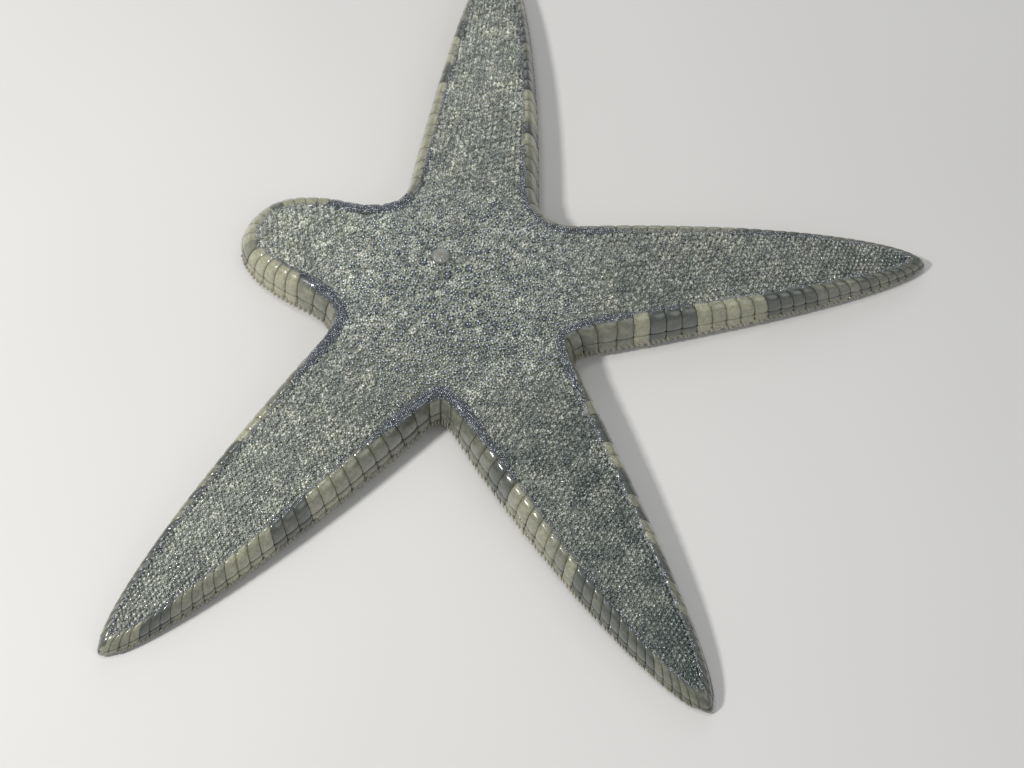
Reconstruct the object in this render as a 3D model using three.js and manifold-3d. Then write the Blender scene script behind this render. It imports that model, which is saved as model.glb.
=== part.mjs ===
// A common sand star (Archaster typicus) at life size, lying flat on its underside.
// Millimetres, +Z up. The origin is the middle of the footprint, on the level it rests on.
// Four arms are whole. The fifth was lost once and has healed to a short blunt one.
//
// The body is one shell of lines that run from a notch between two arms out to an arm's
// tip: down the top, over the row of block-like edge plates, and under to the furrow.
// Thin cuts part it into the disc and its five arms.

import * as THREE from 'three';
import { mergeVertices } from 'three/addons/utils/BufferGeometryUtils.js';
import Module from 'manifold-3d';

const wasm = await Module();
wasm.setup();

// ---------------------------------------------------------------- driving dimensions
const armCount = 5;
const sector = (2 * Math.PI) / armCount;
const halfSector = sector / 2;
const backArmAzimuth = THREE.MathUtils.degToRad(85);

const notchRadius = 15.1; // from the middle to the edge, between two arms
const cutRadius = 17.5; // where an arm is parted from the disc
const cutGap = 0.3;

const discHeight = 5.9; // of the top's rim, at the disc
const middleHeight = 6.7; // of the top, at its middle
const tipHeight = 2.0;
const armCrown = 0.35; // rise of an arm's top from its rim to its middle
const furrowLip = 0.4;
const furrowDepth = 1.8;
const furrowRound = 0.15; // the roof's rise from its walls to its middle

const notchPlates = 3; // edge plates from the middle of a notch to the cut
const plateRelief = 0.26; // depth of the seams between edge plates
const plateFace = 0.2; // share of a plate that slopes down to each seam

// Arms clockwise from the back one. turn is the swing away from an even star, in degrees,
// and bend is how far the tip curves to the left, looking outward.
// shrink is how much smaller the last edge plate is than the first, and crowding sets the
// stations closer toward a blunt tip, where the side turns fastest.
const wholeArm = { shoulder: 8.6, taper: 1.5, blunt: 0.6, droop: 2, plates: 26, shrink: 0.5, crowding: 1 };
const shortArm = { shoulder: 7.4, taper: 5, blunt: 0.5, droop: 4, plates: 9, shrink: 0, crowding: 1.8 };
const arms = [
  { name: 'arm_back', ...wholeArm, reach: 56, turn: 1.1, bend: 0.9 },
  { name: 'arm_right', ...wholeArm, reach: 56.3, turn: -3.9, bend: -0.4 },
  { name: 'arm_front_right', ...wholeArm, reach: 54.5, turn: -1.4, bend: 1.4 },
  { name: 'arm_front_left', ...wholeArm, reach: 55.6, turn: 1.9, bend: -0.3 },
  { name: 'arm_short', ...shortArm, reach: 28, turn: 2.7, bend: -0.4 },
];

// Lines of the shell, from the middle of the top to the middle of the underside.
// back: how far the line ends short of the tip. inset: how far it lies in from the side.
// rise: its height as a share of the rim's, and lift: what is added to it.
// plated: it steps in at each seam of the plates. furrow: half the furrow's width there.
const lines = [
  { kind: 'ridge', back: 5.0 },
  { kind: 'edge', back: 3.6, inset: 5.6, rise: 1.0, lift: 0.2 },
  { kind: 'edge', back: 2.6, inset: 2.6, rise: 0.97, lift: 0 },
  { kind: 'edge', back: 1.9, inset: 1.9, rise: 0.985, lift: 0, plated: true },
  { kind: 'edge', back: 0.75, inset: 0.75, rise: 0.84, lift: 0, plated: true },
  { kind: 'edge', back: 0.2, inset: 0.2, rise: 0.6, lift: 0, plated: true },
  { kind: 'edge', back: 0.4, inset: 0.4, rise: 0.48, lift: 0 },
  { kind: 'edge', back: -0.25, inset: -0.25, rise: 0.3, lift: 0, plated: true },
  { kind: 'edge', back: 0.45, inset: 0.45, rise: 0.09, lift: 0 },
  { kind: 'edge', back: 1.1, inset: 1.1, rise: 0, lift: 0 },
  { kind: 'edge', back: 2.4, inset: 2.4, rise: 0, lift: 0 },
  { kind: 'lip', back: 3.6, furrow: 1.2 },
  { kind: 'wall', back: 4.2, furrow: 0.85 },
  { kind: 'roof', back: 5.0 },
];

const madreporiteRadius = 1.1;
const madreporiteReach = 4.1; // from the middle, toward the notch left of the back arm
const pocketClearance = 0.3;
const pocketDepth = 0.7;
const mouthRadius = 1.05;
const mouthOpening = 0.4;

const skinMaterial = new THREE.MeshStandardMaterial({ color: 0x74786a, roughness: 0.55, metalness: 0 });
const armMaterial = new THREE.MeshStandardMaterial({ color: 0x7c7f70, roughness: 0.55, metalness: 0 });
const madreporiteMaterial = new THREE.MeshStandardMaterial({ color: 0x8c8f8a, roughness: 0.45, metalness: 0 });
const mouthMaterial = new THREE.MeshStandardMaterial({ color: 0xc9bd98, roughness: 0.6, metalness: 0 });

// ---------------------------------------------------------------- shape of one arm
function armWidth(arm, line, s) {
  const along = Math.min(s / (arm.reach - line.back), 1);
  return (arm.shoulder - line.inset) * Math.pow(1 - Math.pow(along, arm.taper), arm.blunt);
}

function rimHeight(arm, s) {
  const along = Math.min(s / arm.reach, 1);
  return tipHeight + (discHeight - tipHeight) * Math.pow(1 - Math.pow(along, arm.droop), 0.8);
}

function lineHeight(arm, line, s) {
  const rim = rimHeight(arm, s);
  if (line.kind === 'ridge') return rim + armCrown * (rim / discHeight);
  if (line.kind === 'lip') return furrowLip;
  if (line.kind === 'wall') return Math.min(furrowDepth, 0.45 * rim) - furrowRound;
  if (line.kind === 'roof') return Math.min(furrowDepth, 0.45 * rim);
  return rim * line.rise + line.lift * (rim / discHeight);
}

function lineWidth(arm, line, s) {
  if (line.kind === 'edge') return armWidth(arm, line, s);
  if (!line.furrow) return 0;
  const along = Math.min(s / (arm.reach - line.back), 1);
  return line.furrow * Math.sqrt(1 - Math.pow(along, 8));
}

// A plated line steps in toward the arm's middle at a seam.
function steppedIn(line, atSeam) {
  if (!line.plated || !atSeam) return line;
  return { ...line, back: line.back + plateRelief, inset: line.inset + plateRelief };
}

// ---------------------------------------------------------------- stations along a line
// Plates get smaller toward the tip, in even steps.
function plateSeams(count, shrink) {
  const seams = [0];
  for (let i = 0; i < count; i++) {
    seams.push(seams[i] + 1 - (shrink * i) / count);
  }
  return seams.map((seam) => seam / seams[count]);
}

function stations(seams, plated) {
  if (!plated) {
    return seams.filter((_, i) => i % 2 === 0 || i === seams.length - 1).map((at) => ({ at, atSeam: false }));
  }
  const list = [];
  for (let i = 0; i + 1 < seams.length; i++) {
    const span = seams[i + 1] - seams[i];
    list.push({ at: seams[i], atSeam: true });
    list.push({ at: seams[i] + span * plateFace, atSeam: false });
    list.push({ at: seams[i + 1] - span * plateFace, atSeam: false });
  }
  list.push({ at: 1, atSeam: true });
  return list;
}

// ---------------------------------------------------------------- placing on the star
function onStar(index, azimuth, radius, z) {
  const axis = backArmAzimuth - sector * index + azimuth;
  return new THREE.Vector3(radius * Math.cos(axis), radius * Math.sin(axis), z);
}

// An arm swings as one piece. Between two arms the swing passes smoothly from one to the next.
const swingStart = THREE.MathUtils.degToRad(26);
function swing(index, azimuth) {
  const own = arms[index].turn;
  const step = azimuth > 0 ? -1 : 1;
  const next = arms[(index + step + armCount) % armCount].turn;
  const share = THREE.MathUtils.smoothstep(Math.abs(azimuth), swingStart, sector - swingStart);
  return THREE.MathUtils.degToRad(THREE.MathUtils.lerp(own, next, share));
}

function placed(index, s, t, z) {
  const azimuth = Math.atan2(t, s);
  return onStar(index, azimuth + swing(index, azimuth), Math.hypot(s, t), z);
}

function placedOnArm(index, s, t, z) {
  const arm = arms[index];
  const along = (s - cutRadius) / (arm.reach - cutRadius);
  const shifted = t + arm.bend * along * along;
  const azimuth = Math.atan2(shifted, s) + THREE.MathUtils.degToRad(arm.turn);
  return onStar(index, azimuth, Math.hypot(s, shifted), z);
}

// ---------------------------------------------------------------- lines of an arm and of the disc
function armLine(index, side, line) {
  const arm = arms[index];
  const start = cutRadius + cutGap / 2;
  return stations(plateSeams(arm.plates, arm.shrink), line.plated).map(({ at, atSeam }) => {
    const stepped = steppedIn(line, atSeam);
    const share = 1 - Math.pow(1 - at, arm.crowding);
    const s = THREE.MathUtils.lerp(start, arm.reach - stepped.back, share);
    const t = at === 1 ? 0 : lineWidth(arm, stepped, s);
    return { at, point: placedOnArm(index, s, side * t, lineHeight(arm, line, s)) };
  });
}

function notchCurve(arm, line, end) {
  const width = lineWidth(arm, line, end);
  const slope = (lineWidth(arm, line, end + 0.5) - width) / 0.5;
  const radius = notchRadius - line.inset;
  const reach = (end - radius * Math.cos(halfSector)) * 0.42;
  const notch = new THREE.Vector2(radius * Math.cos(halfSector), radius * Math.sin(halfSector));
  const leave = new THREE.Vector2(Math.sin(halfSector), -Math.cos(halfSector)).multiplyScalar(reach * 0.6);
  const arrive = new THREE.Vector2(1, slope).normalize().multiplyScalar(-reach);
  const cut = new THREE.Vector2(end, width);
  return new THREE.CubicBezierCurve(notch, notch.clone().add(leave), cut.clone().add(arrive), cut);
}

function discCurve(arm, line, end) {
  const cut = new THREE.Vector2(end, lineWidth(arm, line, end));
  if (line.kind === 'edge' && line.inset < 5) return notchCurve(arm, line, end);
  let start = new THREE.Vector2(0, 0);
  if (line.kind === 'edge') {
    start = new THREE.Vector2(Math.cos(halfSector), Math.sin(halfSector)).multiplyScalar(notchRadius * 0.45);
  } else if (line.furrow) {
    start = new THREE.Vector2(line.furrow / Math.tan(halfSector), line.furrow);
  }
  return new THREE.LineCurve(start, cut);
}

// Height of a line where it starts, at the notch or the middle of the star.
function startHeight(line) {
  if (line.kind === 'ridge') return middleHeight;
  if (line.kind === 'lip') return furrowLip;
  if (line.kind === 'wall') return furrowDepth - furrowRound;
  if (line.kind === 'roof') return furrowDepth;
  const towardMiddle = line.inset > 5 ? middleHeight - discHeight - 0.2 : 0;
  return discHeight * line.rise + towardMiddle;
}

function discLine(index, side, line) {
  const arm = arms[index];
  const end = cutRadius - cutGap / 2;
  const endHeight = lineHeight(arm, line, end);
  return stations(plateSeams(notchPlates, 0), line.plated).map(({ at, atSeam }) => {
    const curve = discCurve(arm, steppedIn(line, atSeam), end);
    const spot = curve.getPoint(at);
    const z = THREE.MathUtils.lerp(startHeight(line), endHeight, THREE.MathUtils.smoothstep(at, 0, 1));
    return { at, point: placed(index, spot.x, side * spot.y, z) };
  });
}

// ---------------------------------------------------------------- making closed solids
class Shell {
  constructor() {
    this.coordinates = [];
  }

  triangle(a, b, c) {
    this.coordinates.push(a.x, a.y, a.z, b.x, b.y, b.z, c.x, c.y, c.z);
  }

  // Fills the strip between two lines, which may have different numbers of points.
  stitch(first, second, flipped) {
    let i = 0;
    let j = 0;
    while (i + 1 < first.length || j + 1 < second.length) {
      const nextFirst = i + 1 < first.length ? first[i + 1].at : Infinity;
      const nextSecond = j + 1 < second.length ? second[j + 1].at : Infinity;
      const a = first[i].point;
      const b = second[j].point;
      const c = nextFirst <= nextSecond ? first[++i].point : second[++j].point;
      if (flipped) this.triangle(a, c, b);
      else this.triangle(a, b, c);
    }
  }

  // Closes a flat face through a ring of points, seen along the given direction.
  cap(ring, outward) {
    const across = new THREE.Vector3(0, 0, 1).cross(outward).normalize();
    const flat = ring.map((point) => new THREE.Vector2(point.dot(across), point.z));
    for (const [a, b, c] of THREE.ShapeUtils.triangulateShape(flat, [])) {
      const normal = ring[b].clone().sub(ring[a]).cross(ring[c].clone().sub(ring[a]));
      if (normal.dot(outward) > 0) this.triangle(ring[a], ring[b], ring[c]);
      else this.triangle(ring[a], ring[c], ring[b]);
    }
  }

  geometry() {
    const soup = new THREE.BufferGeometry();
    soup.setAttribute('position', new THREE.Float32BufferAttribute(this.coordinates, 3));
    const merged = mergeVertices(soup, 1e-4);
    const kept = [];
    const index = merged.index.array;
    for (let i = 0; i < index.length; i += 3) {
      const corners = [index[i], index[i + 1], index[i + 2]];
      if (new Set(corners).size === 3) kept.push(...corners);
    }
    merged.setIndex(kept);
    return merged;
  }
}

function addSide(shell, sideLines, side) {
  for (let i = 0; i + 1 < sideLines.length; i++) {
    shell.stitch(sideLines[i], sideLines[i + 1], side > 0);
  }
}

// The ring of points where the lines of both sides meet the cut.
function cutRing(left, right, pick) {
  const down = left.map((line) => pick(line).point);
  const up = right.map((line) => pick(line).point).reverse();
  return [...down, ...up.slice(1, -1)];
}

function armGeometry(index) {
  const shell = new Shell();
  const [left, right] = [1, -1].map((side) => lines.map((line) => armLine(index, side, line)));
  addSide(shell, left, 1);
  addSide(shell, right, -1);
  const inward = placedOnArm(index, cutRadius, 0, 0).normalize().negate();
  shell.cap(cutRing(left, right, (line) => line[0]), inward);
  return shell.geometry();
}

function discGeometry() {
  const shell = new Shell();
  arms.forEach((arm, index) => {
    const [left, right] = [1, -1].map((side) => lines.map((line) => discLine(index, side, line)));
    addSide(shell, left, 1);
    addSide(shell, right, -1);
    const outward = placedOnArm(index, cutRadius, 0, 0).normalize();
    shell.cap(cutRing(left, right, (line) => line[line.length - 1]), outward);
  });
  return shell.geometry();
}

function positionsOnly(geometry) {
  const bare = geometry.clone();
  bare.deleteAttribute('normal');
  bare.deleteAttribute('uv');
  return mergeVertices(bare, 1e-4);
}

function toSolid(geometry) {
  const bare = positionsOnly(geometry);
  return new wasm.Manifold(new wasm.Mesh({
    numProp: 3,
    vertProperties: new Float32Array(bare.attributes.position.array),
    triVerts: new Uint32Array(bare.index.array),
  }));
}

function toGeometry(solid) {
  const mesh = solid.getMesh();
  const geometry = new THREE.BufferGeometry();
  geometry.setAttribute('position', new THREE.BufferAttribute(mesh.vertProperties, 3));
  geometry.setIndex(new THREE.BufferAttribute(mesh.triVerts, 1));
  return geometry;
}

// ---------------------------------------------------------------- madreporite and mouth
// A lathed shape stands along +Z instead of +Y.
function lathed(profile, steps) {
  const geometry = new THREE.LatheGeometry(profile.map(([r, z]) => new THREE.Vector2(r, z)), steps);
  geometry.rotateX(Math.PI / 2);
  return geometry;
}

const madreporiteMiddle = onStar(armCount - 1, -halfSector, madreporiteReach, 0);
const topNearMadreporite = middleHeight - 0.2;

function madreporiteGeometry() {
  const low = topNearMadreporite - pocketDepth + pocketClearance;
  const brim = topNearMadreporite + 0.12;
  const profile = [[0, low], [madreporiteRadius, low], [madreporiteRadius, brim]];
  for (let step = 1; step <= 3; step++) {
    const angle = (step / 3) * (Math.PI / 2);
    profile.push([madreporiteRadius * Math.cos(angle), brim + 0.34 * Math.sin(angle)]);
  }
  profile[profile.length - 1][0] = 0;
  const geometry = lathed(profile, 20);
  return geometry.translate(madreporiteMiddle.x, madreporiteMiddle.y, 0);
}

function pocketGeometry() {
  const radius = madreporiteRadius + pocketClearance;
  const floor = topNearMadreporite - pocketDepth;
  const profile = [[0, floor], [radius, floor], [radius, middleHeight + 1], [0, middleHeight + 1]];
  return lathed(profile, 20).translate(madreporiteMiddle.x, madreporiteMiddle.y, 0);
}

function mouthGeometry() {
  const roof = furrowDepth - furrowRound - cutGap;
  const brim = furrowLip + 0.25;
  const outer = [[mouthRadius * 0.7, furrowLip], [mouthRadius, brim], [mouthRadius * 0.9, roof]];
  return lathed([[mouthOpening, brim], ...outer, [mouthOpening, roof], [mouthOpening, brim]], 20);
}

// ---------------------------------------------------------------- the star
const star = new THREE.Group();

function addPiece(name, geometry, material) {
  const mesh = new THREE.Mesh(geometry, material);
  mesh.name = name;
  star.add(mesh);
}

addPiece('disc', toGeometry(toSolid(discGeometry()).subtract(toSolid(pocketGeometry()))), skinMaterial);
arms.forEach((arm, index) => addPiece(arm.name, armGeometry(index), armMaterial));
addPiece('madreporite', madreporiteGeometry(), madreporiteMaterial);
addPiece('mouth', mouthGeometry(), mouthMaterial);

// The middle of the footprint comes to the origin.
const footprint = new THREE.Box3().setFromObject(star);
const middle = footprint.getCenter(new THREE.Vector3());
star.position.set(-middle.x, -middle.y, -footprint.min.z);

const model = new THREE.Group();
model.add(star);
export default model;
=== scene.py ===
# A common sand star (Archaster typicus) at life size, wet, lying flat on its underside.
# Sizes in the classes are in millimetres, and meshes are written in metres. An arm is
# followed by s, outward from the star's middle, and t, to the left of the arm's own line.

import logging
import math
from collections.abc import Callable
from dataclasses import dataclass, field, fields
from enum import Enum

import bmesh
import bpy
import numpy as np
from mathutils import Matrix, Vector
from mathutils.bvhtree import BVHTree

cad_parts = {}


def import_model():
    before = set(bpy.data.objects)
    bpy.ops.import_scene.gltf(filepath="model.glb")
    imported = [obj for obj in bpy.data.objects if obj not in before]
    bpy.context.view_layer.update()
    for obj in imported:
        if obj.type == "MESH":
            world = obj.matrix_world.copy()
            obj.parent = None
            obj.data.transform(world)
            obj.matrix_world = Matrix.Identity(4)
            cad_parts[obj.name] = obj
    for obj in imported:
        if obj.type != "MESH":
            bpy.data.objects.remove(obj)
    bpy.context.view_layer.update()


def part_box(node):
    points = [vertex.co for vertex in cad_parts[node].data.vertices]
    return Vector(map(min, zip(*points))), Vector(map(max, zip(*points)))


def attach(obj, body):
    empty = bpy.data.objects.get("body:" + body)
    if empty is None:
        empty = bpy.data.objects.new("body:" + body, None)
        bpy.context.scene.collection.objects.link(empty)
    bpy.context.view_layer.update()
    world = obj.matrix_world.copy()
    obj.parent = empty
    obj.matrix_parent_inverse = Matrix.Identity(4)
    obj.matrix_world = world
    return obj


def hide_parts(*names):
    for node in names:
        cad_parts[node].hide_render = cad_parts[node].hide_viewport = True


MM = 0.001
PATCH = 0.003
GOLDEN_ANGLE = math.pi * (3 - math.sqrt(5))
UP = np.array((0.0, 0.0, 1.0))
Color = tuple[float, float, float]
Array = np.ndarray
Draws = np.random.Generator
Material, Piece, Socket = bpy.types.Material, bpy.types.Object, bpy.types.NodeSocket
Given, Put = bpy.types.bpy_prop_collection, dict[str, Socket]
log = logging.getLogger("sand_star")


class Side(Enum):
    """The two sides of an arm, looking outward along it."""

    LEFT = 1
    RIGHT = -1


class Slot(Enum):
    """The names of the material slots."""

    SKIN = "skin"
    PAXILLAE = "paxillae"
    EDGE_PLATES = "edge_plates"
    SPINES = "spines"
    MADREPORITE = "madreporite"
    MOUTH = "mouth"
    TUBE_FEET = "tube_feet"


# ---- small helpers
def smoothstep(value: Array | float, low: float = 0.0, high: float = 1.0) -> Array:
    """Eases from 0, at and below low, to 1, at and above high."""
    share = np.clip((np.asarray(value, dtype=float) - low) / (high - low), 0, 1)
    return share * share * (3 - 2 * share)


def unit(vectors: Array) -> Array:
    """Scales each vector of an array to length 1."""
    return vectors / np.maximum(np.linalg.norm(vectors, axis=-1, keepdims=True), 1e-12)


def opaque(color: Color | Socket) -> tuple[float, float, float, float] | Socket:
    """Adds an alpha of 1 to a colour, and leaves a socket as it is."""
    return color if isinstance(color, Socket) else (*color, 1.0)


def at_height(spots: Array, z: Array | float) -> Array:
    """Puts spots, which hold x and y, at a height."""
    return np.concatenate((spots, np.broadcast_to(z, spots.shape[:-1])[..., None]), axis=-1)


def lengths_along(line: Array) -> Array:
    """Measures how far along a line, seen from above, each of its points lies."""
    return np.concatenate(((0,), np.cumsum(np.hypot(*np.diff(line[:, :2], axis=0).T))))


def across_pair(directions: Array, spin: Array | float = 0.0) -> tuple[Array, Array]:
    """Finds two directions square to each given one.

    Args:
        directions: Unit vectors, one to a row.
        spin: How far the pair is turned about each direction, in radians.

    Returns:
        The two arrays of unit vectors.
    """
    helper = np.where(np.abs(directions[..., :1]) < 0.8, (1.0, 0.0, 0.0), (0.0, 1.0, 0.0))
    first = unit(np.cross(directions, helper))
    second = np.cross(directions, first)
    turn = np.broadcast_to(np.asarray(spin, dtype=float), directions.shape[:-1])[..., None]
    return first * np.cos(turn) + second * np.sin(turn), second * np.cos(turn) - first * np.sin(turn)


def round_axes(aim: Array, thick: Array | float, spin: Array | float = 0.0) -> Array:
    """Makes the axes of round things that point along aim and are as long as it.

    Args:
        aim: Rows of x, y and z.
        thick: Their radii.
        spin: How far each is turned about its own line, in radians.

    Returns:
        The three axes of each.
    """
    one, two = across_pair(unit(aim), spin)
    thick = np.broadcast_to(thick, len(aim))[:, None]
    return np.stack((one * thick, two * thick, aim), axis=1)


# ---- the star's plan
# The bands of an edge: the share of the arm's reach where each starts, and its tone.
Bands = tuple[tuple[float, float], ...]
DARK, OLIVE, PALE = 0.0, 0.5, 0.86


@dataclass(frozen=True)
class Arm:
    """One arm: its outline, its swing away from an even star, and the bands on its edges."""

    name: str
    number: int
    reach: float
    turn: float
    bend: float
    left: Bands
    right: Bands
    # Lightness of the arm's top, mostly painted light: arms lit more strongly are made paler.
    tone_and_painted_light: float = 0.5
    shoulder: float = 8.6
    taper: float = 1.5
    blunt: float = 0.6
    droop: float = 2.0
    plates: int = 26
    shrink: float = 0.5
    healed: bool = False

    def tone(self, side: Side, share: Array) -> Array:
        """Reads an edge's tone at shares of the arm's reach: 0 is dark, 0.5 is olive and 1 is pale."""
        starts, tones = np.array(self.left if side is Side.LEFT else self.right).T
        return tones[np.maximum(np.searchsorted(starts, share, side="right") - 1, 0)]


ARMS = (
    Arm("back", 0, reach=56, turn=1.1, bend=0.9, tone_and_painted_light=0.8,
        left=((0, 0.35), (0.25, PALE), (0.56, DARK), (0.61, PALE), (0.69, DARK), (0.75, OLIVE), (0.83, DARK)),
        right=((0, 0.4), (0.37, PALE), (0.41, DARK), (0.45, PALE), (0.54, DARK), (0.65, OLIVE), (0.69, DARK),
               (0.8, OLIVE), (0.87, DARK))),
    Arm("right", 1, reach=56.3, turn=-3.9, bend=-0.4, tone_and_painted_light=0.5,
        left=((0, 0.45), (0.34, 0.6), (0.61, DARK), (0.8, 0.3)),
        right=((0, 0.45), (0.35, PALE), (0.385, DARK), (0.48, PALE), (0.63, DARK), (0.75, 0.3))),
    Arm("front_right", 2, reach=54.5, turn=-1.4, bend=1.4, tone_and_painted_light=0.38,
        left=((0, 0.4), (0.36, 0.8), (0.4, DARK), (0.46, 0.74), (0.51, DARK), (0.57, 0.55), (0.6, DARK),
              (0.63, 0.74), (0.69, DARK), (0.78, 0.4), (0.84, DARK)),
        right=((0, 0.3), (0.38, DARK), (0.45, 0.72), (0.61, 0.56), (0.63, 0.74), (0.68, DARK), (0.88, 0.3))),
    Arm("front_left", 3, reach=55.6, turn=1.9, bend=-0.3, tone_and_painted_light=0.77,
        left=((0, 0.3), (0.4, OLIVE), (0.48, PALE), (0.54, DARK), (0.63, PALE), (0.74, OLIVE), (0.86, DARK),
              (0.93, OLIVE)),
        right=((0, 0.4), (0.44, 0.85), (0.54, DARK), (0.62, OLIVE), (0.655, DARK), (0.7, OLIVE), (0.75, DARK),
               (0.84, 0.3))),
    Arm("short", 4, reach=28, turn=2.7, bend=-0.4, tone_and_painted_light=0.84, shoulder=7.4, taper=5, blunt=0.5, droop=4,
        plates=8, shrink=0, healed=True,
        left=((0, 0.35), (0.6, 0.9), (0.7, 1.0), (0.9, 0.35), (0.95, 0.9)),
        right=((0, 0.12), (0.67, 0.85), (0.89, 0.12), (0.94, 0.9))),
)


@dataclass(frozen=True)
class StarPlan:
    """Where the points of the star's shell lie, in millimetres of the frame."""

    centre_x: float
    centre_y: float
    arms: tuple[Arm, ...] = ARMS
    first_azimuth: float = 85.0
    notch_radius: float = 15.1
    arm_start: float = 17.5
    disc_height: float = 5.9
    middle_height: float = 6.7
    tip_height: float = 2.0
    arm_crown: float = 0.35
    furrow_lip: float = 0.4
    furrow_depth: float = 1.8
    swing_start: float = 26.0
    notch_plates: int = 3
    notch_crests: tuple[float, ...] = (1.6, 1.2, 0.9, 0.9, 1.1)
    arm_crest: float = 1.75
    disc_shade: float = 0.58
    tip_shade: float = 0.26
    edge_shade: float = 0.4

    @property
    def sector(self) -> float:
        """The angle from one arm to the next, in radians."""
        return 2 * math.pi / len(self.arms)

    def place(self, arm: Arm, s: Array, t: Array) -> Array:
        """Finds where a spot of an arm or of its share of the disc lies.

        Args:
            arm: The arm.
            s: Distances outward.
            t: Distances to the left.

        Returns:
            Rows of x and y.
        """
        s, t = np.broadcast_arrays(np.asarray(s, dtype=float), np.asarray(t, dtype=float))
        along = np.clip((s - self.arm_start) / (arm.reach - self.arm_start), 0, None)
        shifted = t + arm.bend * along ** 2
        azimuth = np.arctan2(shifted, s)
        turn = np.where(s < self.arm_start, self._swing(arm, azimuth), math.radians(arm.turn))
        axis = math.radians(self.first_azimuth) - self.sector * arm.number + azimuth + turn
        radius = np.hypot(s, shifted)
        return np.stack((self.centre_x + radius * np.cos(axis),
                         self.centre_y + radius * np.sin(axis)), axis=-1)

    def _swing(self, arm: Arm, azimuth: Array) -> Array:
        """Finds the swing at an angle from an arm: its own, easing to the next arm's.

        Args:
            arm: The arm.
            azimuth: Angles from the arm's line, in radians.

        Returns:
            The swings in radians.
        """
        count = len(self.arms)
        start = math.radians(self.swing_start)
        after = self.arms[(arm.number - 1) % count].turn
        before = self.arms[(arm.number + 1) % count].turn
        share = smoothstep(np.abs(azimuth), start, self.sector - start)
        return np.radians(arm.turn + (np.where(azimuth > 0, after, before) - arm.turn) * share)

    def radius(self, spots: Array) -> Array:
        """Finds how far from the star's middle spots lie."""
        return np.hypot(spots[:, 0] - self.centre_x, spots[:, 1] - self.centre_y)

    def nearest(self, spots: Array) -> tuple[Array, Array, Array]:
        """Finds the arm that each spot belongs to and where the spot lies along it.

        Args:
            spots: Rows of x and y.

        Returns:
            The arms' numbers, and each spot's s and t.
        """
        x, y = spots[:, 0] - self.centre_x, spots[:, 1] - self.centre_y
        turns = np.array([math.radians(self.first_azimuth + arm.turn) - self.sector * arm.number
                          for arm in self.arms])
        away = np.angle(np.exp(1j * (np.arctan2(y, x)[:, None] - turns[None])))
        number = np.argmin(np.abs(away), axis=1)
        azimuth = away[np.arange(len(spots)), number]
        radius = self.radius(spots)
        return number, radius * np.cos(azimuth), radius * np.sin(azimuth)

    def back(self, inset: Array) -> Array:
        """Says how far a line that is inset from the side ends short of the tip."""
        return np.where(inset <= 2.6, inset, 2.6 + (inset - 2.6) / 3)

    def width(self, arm: Arm, inset: Array, s: Array) -> Array:
        """Finds half an arm's width at distances outward, at a line inset from its side."""
        along = np.clip(s / (arm.reach - self.back(inset)), 0, 1)
        return (arm.shoulder - inset) * (1 - along ** arm.taper) ** arm.blunt

    def rim(self, arm: Arm, s: Array) -> Array:
        """Finds the height of an arm's upper rim at distances outward."""
        along = np.clip(np.asarray(s) / arm.reach, 0, 1)
        return self.tip_height + (self.disc_height - self.tip_height) * (1 - along ** arm.droop) ** 0.8

    def _notch_spot(self, arm: Arm, share: Array, inset: Array) -> tuple[Array, Array]:
        """Follows the round corner between two arms, from its middle to where the arm starts.

        Args:
            arm: The arm that the corner leads to.
            share: How far along the corner, from 0 to 1.
            inset: How far in from the side.

        Returns:
            The spots' s and t.
        """
        half, end = self.sector / 2, self.arm_start
        width = self.width(arm, inset, end)
        slope = (self.width(arm, inset, end + 0.5) - width) / 0.5
        radius = self.notch_radius - inset
        pull = (end - radius * math.cos(half)) * 0.42
        steep = np.hypot(1, slope)
        starts = (radius * math.cos(half), radius * math.sin(half))
        leaves = (starts[0] + math.sin(half) * pull * 0.6, starts[1] - math.cos(half) * pull * 0.6)
        arrives = (end - pull / steep, width - pull * slope / steep)
        weights = ((1 - share) ** 3, 3 * share * (1 - share) ** 2, 3 * share ** 2 * (1 - share), share ** 3)
        knots = (starts, leaves, arrives, (end, width))
        return tuple(sum(weight * knot[axis] for weight, knot in zip(weights, knots)) for axis in range(2))

    def edge(self, arm: Arm, side: Side, along: Array, inset: Array, rise: Array,
             lift: float = 0.0) -> Array:
        """Finds points of the star's edge.

        Args:
            arm: The arm.
            side: Which of its edges.
            along: 0 at the middle of the notch, 1 where the arm starts and 2 at its tip.
            inset: How far in from the side.
            rise: Height as a share of the rim's.
            lift: What is added to the height at the disc, and less of it where the arm is lower.

        Returns:
            Rows of x, y and z.
        """
        along, inset, rise = np.broadcast_arrays(*(np.asarray(a, dtype=float) for a in (along, inset, rise)))
        notch_s, notch_t = self._notch_spot(arm, np.clip(along, 0, 1), inset)
        arm_share = np.clip(along - 1, 0, 1)
        arm_s = self.arm_start + (arm.reach - self.back(inset) - self.arm_start) * arm_share
        arm_t = np.where(arm_share >= 1, 0, self.width(arm, inset, arm_s))
        s, t = np.where(along < 1, notch_s, arm_s), np.where(along < 1, notch_t, arm_t)
        end = self.rim(arm, self.arm_start)
        notch_rim = self.disc_height + (end - self.disc_height) * smoothstep(along)
        rim = np.where(along < 1, notch_rim, self.rim(arm, arm_s))
        z = rim * rise + lift * rim / self.disc_height
        return at_height(self.place(arm, s, side.value * t), z)

    def outward(self, arm: Arm, along: Array) -> Array:
        """Finds how far out a place on an arm's edge lies.

        Args:
            arm: The arm.
            along: Places along the edge, from 0 to 2.

        Returns:
            Shares of the arm's reach.
        """
        s = np.where(along < 1,
                     self.notch_radius * 0.85 + (self.arm_start - self.notch_radius * 0.85) * along,
                     self.arm_start + (arm.reach - self.arm_start) * (along - 1))
        return s / arm.reach

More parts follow.
